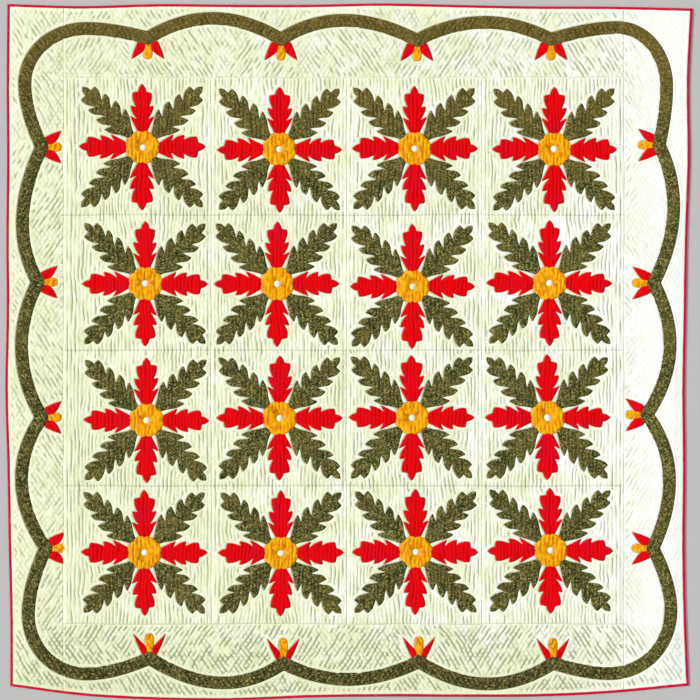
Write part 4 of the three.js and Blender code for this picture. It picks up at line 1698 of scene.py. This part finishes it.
border_halo = rows_beside([*VINE_LOOPS, *ALL_PETALS, *ALL_TONGUES], GROUND_ROWS, from_patches, ROW_GAP)
border_under = rows_beside([*VINE_LOOPS, *ALL_PETALS, *ALL_TONGUES], UNDER_ROW, from_patches, UNDER_GAP)
edge_rows = [at_edge(side, inset, EDGE_ROW_GAP) for side in SIDES for inset in STRIP_EDGE_ROWS]
border_lattice = {}
for side in SIDES:
    ring = strip_ring(side)
    low, high = ring.min(0), ring.max(0)
    lattice = slanting_lattice(low, high)
    lattice = lattice[inside(lattice, [ring])]
    border_lattice[side] = lattice
    lattice = lattice[from_edge(lattice) > OPEN_FROM_EDGE]
    open_ground = between_rows(lattice, from_patches(lattice), border_halo, GROUND_CLEAR)
    sparse = coarse(low, high, PANEL_BACK_STEP)
    hidden = coarse(low, high, HIDDEN_STEP)
    hidden = hidden[from_patches(hidden) < -HIDDEN_CLEAR]
    others = np.vstack([border_halo, border_under, hidden, *edge_rows])
    near = (others > low).all(1) & (others < high).all(1)
    inner = np.vstack([open_ground, others[near]])
    inner = apart(inner[inside(inner, [ring])], 1.5)
    inner = inner[distance_to(inner, *segments([ring])) > 2.0]
    strip = panel(f"border_{side}", ring, inner, border_ground, sparse)
    cut_area(ring)
    print(strip.name, "triangles:", triangle_counts[strip.name])

all_lattice = np.vstack(list(border_lattice.values()))
low, high = all_lattice.min(0), all_lattice.max(0)
wide = coarse(low, high, PATCH_BACK_STEP)


def vine_height(points):
    over = lapped(np.minimum(from_loops(points, ALL_PETALS), from_loops(points, ALL_TONGUES)))
    return patch(points, from_line(points), slanting_lines(points), over)


near_line = all_lattice[from_line(all_lattice) < -PATCH_CLEAR]
rows = rows_beside(VINE_LOOPS, PATCH_ROWS, from_line, ROW_GAP)
vine = make_patches(
    "vine_cloth",
    VINE_LOOPS,
    np.vstack([near_line, rows]),
    vine_height,
    GREEN_PRINT,
    "green_print",
    ["vine"],
    wide[from_line(wide) < -PATCH_BACK_CLEAR],
)
print("vine triangles:", triangle_counts["vine_cloth"])

for side in SIDES:
    petals, tongues = BUD_PETALS[side], BUD_TONGUES[side]

    def petal_own(points):
        return from_loops(points, petals)

    def petal_height(points):
        over = lapped(from_loops(points, tongues))
        return patch(points, petal_own(points), slanting_lines(points), over, cover=from_line(points))

    def tongue_own(points):
        return from_loops(points, tongues)

    def tongue_height(points):
        cover = np.minimum(from_line(points), petal_own(points))
        return patch(points, tongue_own(points), slanting_lines(points), cover=cover)

    for kind, loops, own, height, material, slot in (
        ("petals", petals, petal_own, petal_height, RED_COTTON, "red_cotton"),
        ("tongues", tongues, tongue_own, tongue_height, GOLD_COTTON, "gold_cotton"),
    ):
        near = border_lattice[side]
        rows = rows_beside(loops, SMALL_PATCH_ROWS, own, 3.6)
        inner = np.vstack([near[own(near) < -PATCH_CLEAR + 1.5], rows])
        made = make_patches(f"bud_{kind}_{side}", loops, inner, height, material, slot, ["vine"], wide[:0])
        area = sum(cut_area(loop) for loop in loops)
        length = np.hypot(*np.ptp(loops[0], axis=0))
print("triangles so far:", sum(triangle_counts.values()))

# %% [markdown]
# ## The back
# The back is one wide sheet of muslin. Lying down, its puffs rest on the floor and the sewn lines are drawn
# up. It isn't seen from above, so its hollows are only hinted at, one for each third line, and its mesh is
# coarse.

# %% Backing
BACK_TOP = 1.3
BACK_STEP = 14
BACK_EDGE = 0.9
BACK_RING_STEP = 10
backing_ring = anticlockwise(
    np.vstack([edge_run(side, *ends_of(side, EDGE_IN), EDGE_IN, BACK_RING_STEP) for side in SIDES])
)


def back_height(points):
    x, y = points.T
    line = between_lines((x / (3 * LINE_PITCH) + 0.2 * soft_noise(x, y, 140, 51)) % 1)
    raised = 0.55 * line * (0.6 + 0.4 * soft_noise(x, y, (30, 60), 52))
    return np.where(from_edge(points) < BOUND_WIDTH + 0.7, BACK_EDGE, raised)


back_points = coarse((-HALF_WIDTH, -HALF_LENGTH), (HALF_WIDTH, HALF_LENGTH), BACK_STEP)
back_points = back_points[(from_edge(back_points) > 18) & inside(back_points, [backing_ring])]
back_rows = np.vstack([at_edge(side, inset, 9) for side in SIDES for inset in (8.8, 10.4)])
back_rows = apart(back_rows[from_edge(back_rows) > 8.5], 1.5)
plan, corners = filled([backing_ring], np.vstack([back_points, back_rows]))
backing = cloth(
    "muslin_backing",
    plan,
    corners,
    back_height(plan),
    [(0.0, lambda place: np.full(len(place), BACK_TOP))],
    lambda points: np.full(len(points), BACK_TOP),
    coarse((-1000, -1000), (1000, 1000), 80),
    WHITE_MUSLIN,
    "white_muslin",
    np.zeros(len(plan)),
    facing=-1,
)
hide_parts("quilt_body")
cut_area(backing_ring)

# %% [markdown]
# ## The binding
# A straight strip of crimson cotton is folded over the raw edge and hemmed on the face and on the back, so
# in section it is a flat C. It is swept along each side, with mitred corners, and waves a little where it
# is sewn.

# %% Bindings
# The C section: inset from the edge and height, from the inner face edge round the outside and back within.
BINDING_SECTION = [
    (8.0, 3.75),
    (7.4, 4.15),
    (5.2, 4.55),
    (2.8, 4.45),
    (1.0, 3.75),
    (0.0, 2.3),
    (0.9, 0.8),
    (2.8, 0.1),
    (8.0, 0.0),
    (8.0, 0.6),
    (3.0, 0.65),
    (1.3, 2.2),
    (3.0, 3.5),
    (8.0, 3.4),
]


BINDING_STEPS = 300


def make_binding(side):
    """One side's folded strip, mitred at both ends."""
    rails = []
    for inset, height in BINDING_SECTION:
        along = np.linspace(*ends_of(side, inset), BINDING_STEPS)
        wave = 0.35 * soft_noise(along, np.zeros(BINDING_STEPS), (26, 1), 61)
        wave *= ease((inset - 2) / 4) * (height > 2)
        lift = 0.25 * soft_noise(along, np.ones(BINDING_STEPS), (17, 1), 62) * (height > 4)
        rails.append(np.c_[beside_edge(side, along, inset - wave), height + lift])
    count, steps = len(rails), BINDING_STEPS
    points = np.vstack(rails)
    faces = []
    for k in range(count):
        here, after = k * steps + np.arange(steps), (k + 1) % count * steps + np.arange(steps)
        faces += np.c_[here[:-1], here[1:], after[1:], after[:-1]].tolist()
    section = np.array(BINDING_SECTION)
    ends = delaunay_2d_cdt([Vector(p) for p in section.tolist()], loop_edges([section]), [], 1, TOUCHING_BEHIND)
    for corner_set in ends[2]:
        faces.append([k * steps for k in corner_set])
        faces.append([k * steps + steps - 1 for k in reversed(corner_set)])
    shade = np.zeros(len(points))
    made = piece(f"binding_cloth_{side}", points, faces, CRIMSON_COTTON, "crimson_binding", shade)
    made.data.validate()
    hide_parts(f"binding_{side}")


for side in SIDES:
    make_binding(side)
print("triangles in all:", sum(triangle_counts.values()), "most in one:", max(triangle_counts.values()))

# %% [markdown]

# %% [markdown]
# ## Floor, light and camera
# The quilt lies on a plain pale floor. A large soft light low on the left shows the quilting, as in the
# photograph, and the camera looks straight down from 5 m.

# %% Floor, light and camera
floor_finish = bpy.data.materials.new("pale_floor")
floor_finish.use_nodes = True
shader = floor_finish.node_tree.nodes["Principled BSDF"]
shader.inputs["Base Color"].default_value = linear("#b9b7b2")
shader.inputs["Roughness"].default_value = 0.9
floor_mesh = bpy.data.meshes.new("floor")
FLOOR = 6.0
floor_corners = [(FLOOR * x, FLOOR * y, 0) for x, y in ((-1, -1), (1, -1), (1, 1), (-1, 1))]
floor_mesh.from_pydata(floor_corners, [], [(0, 1, 2, 3)])
floor_mesh.materials.append(floor_finish)
floor = bpy.data.objects.new("floor", floor_mesh)
floor.location.z = -0.0005
bpy.context.scene.collection.objects.link(floor)
floor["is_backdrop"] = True

sun_data = bpy.data.lights.new("window_light", "SUN")
sun_data.energy = 3.45
sun_data.angle = math.radians(16)
sun = bpy.data.objects.new("window_light", sun_data)
sun.rotation_euler = Vector((0.90, -0.22, -0.52)).to_track_quat("-Z", "Y").to_euler()
bpy.context.scene.collection.objects.link(sun)

world = bpy.data.worlds.new("soft_room")
world.use_nodes = True
world.node_tree.nodes["Background"].inputs["Color"].default_value = linear("#f4f6ff")
world.node_tree.nodes["Background"].inputs["Strength"].default_value = 0.62
bpy.context.scene.world = world
bpy.context.scene.view_settings.view_transform = "Standard"

camera_data = bpy.data.cameras.new("camera")
camera_data.lens = 85
camera_data.sensor_width = 36
camera = bpy.data.objects.new("camera", camera_data)
camera.location = (0.00285, 0.00576, 5.072)
bpy.context.scene.collection.objects.link(camera)
bpy.context.scene.camera = camera

print("lens, mm:", camera_data.lens, "height of the camera, m:", camera.location.z)

# %% [markdown]
# ## Size
# The size of all visible cloth is printed.

# %% Size
low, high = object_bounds()
print("visual, m:", [round(b - a, 4) for a, b in zip(low, high)])
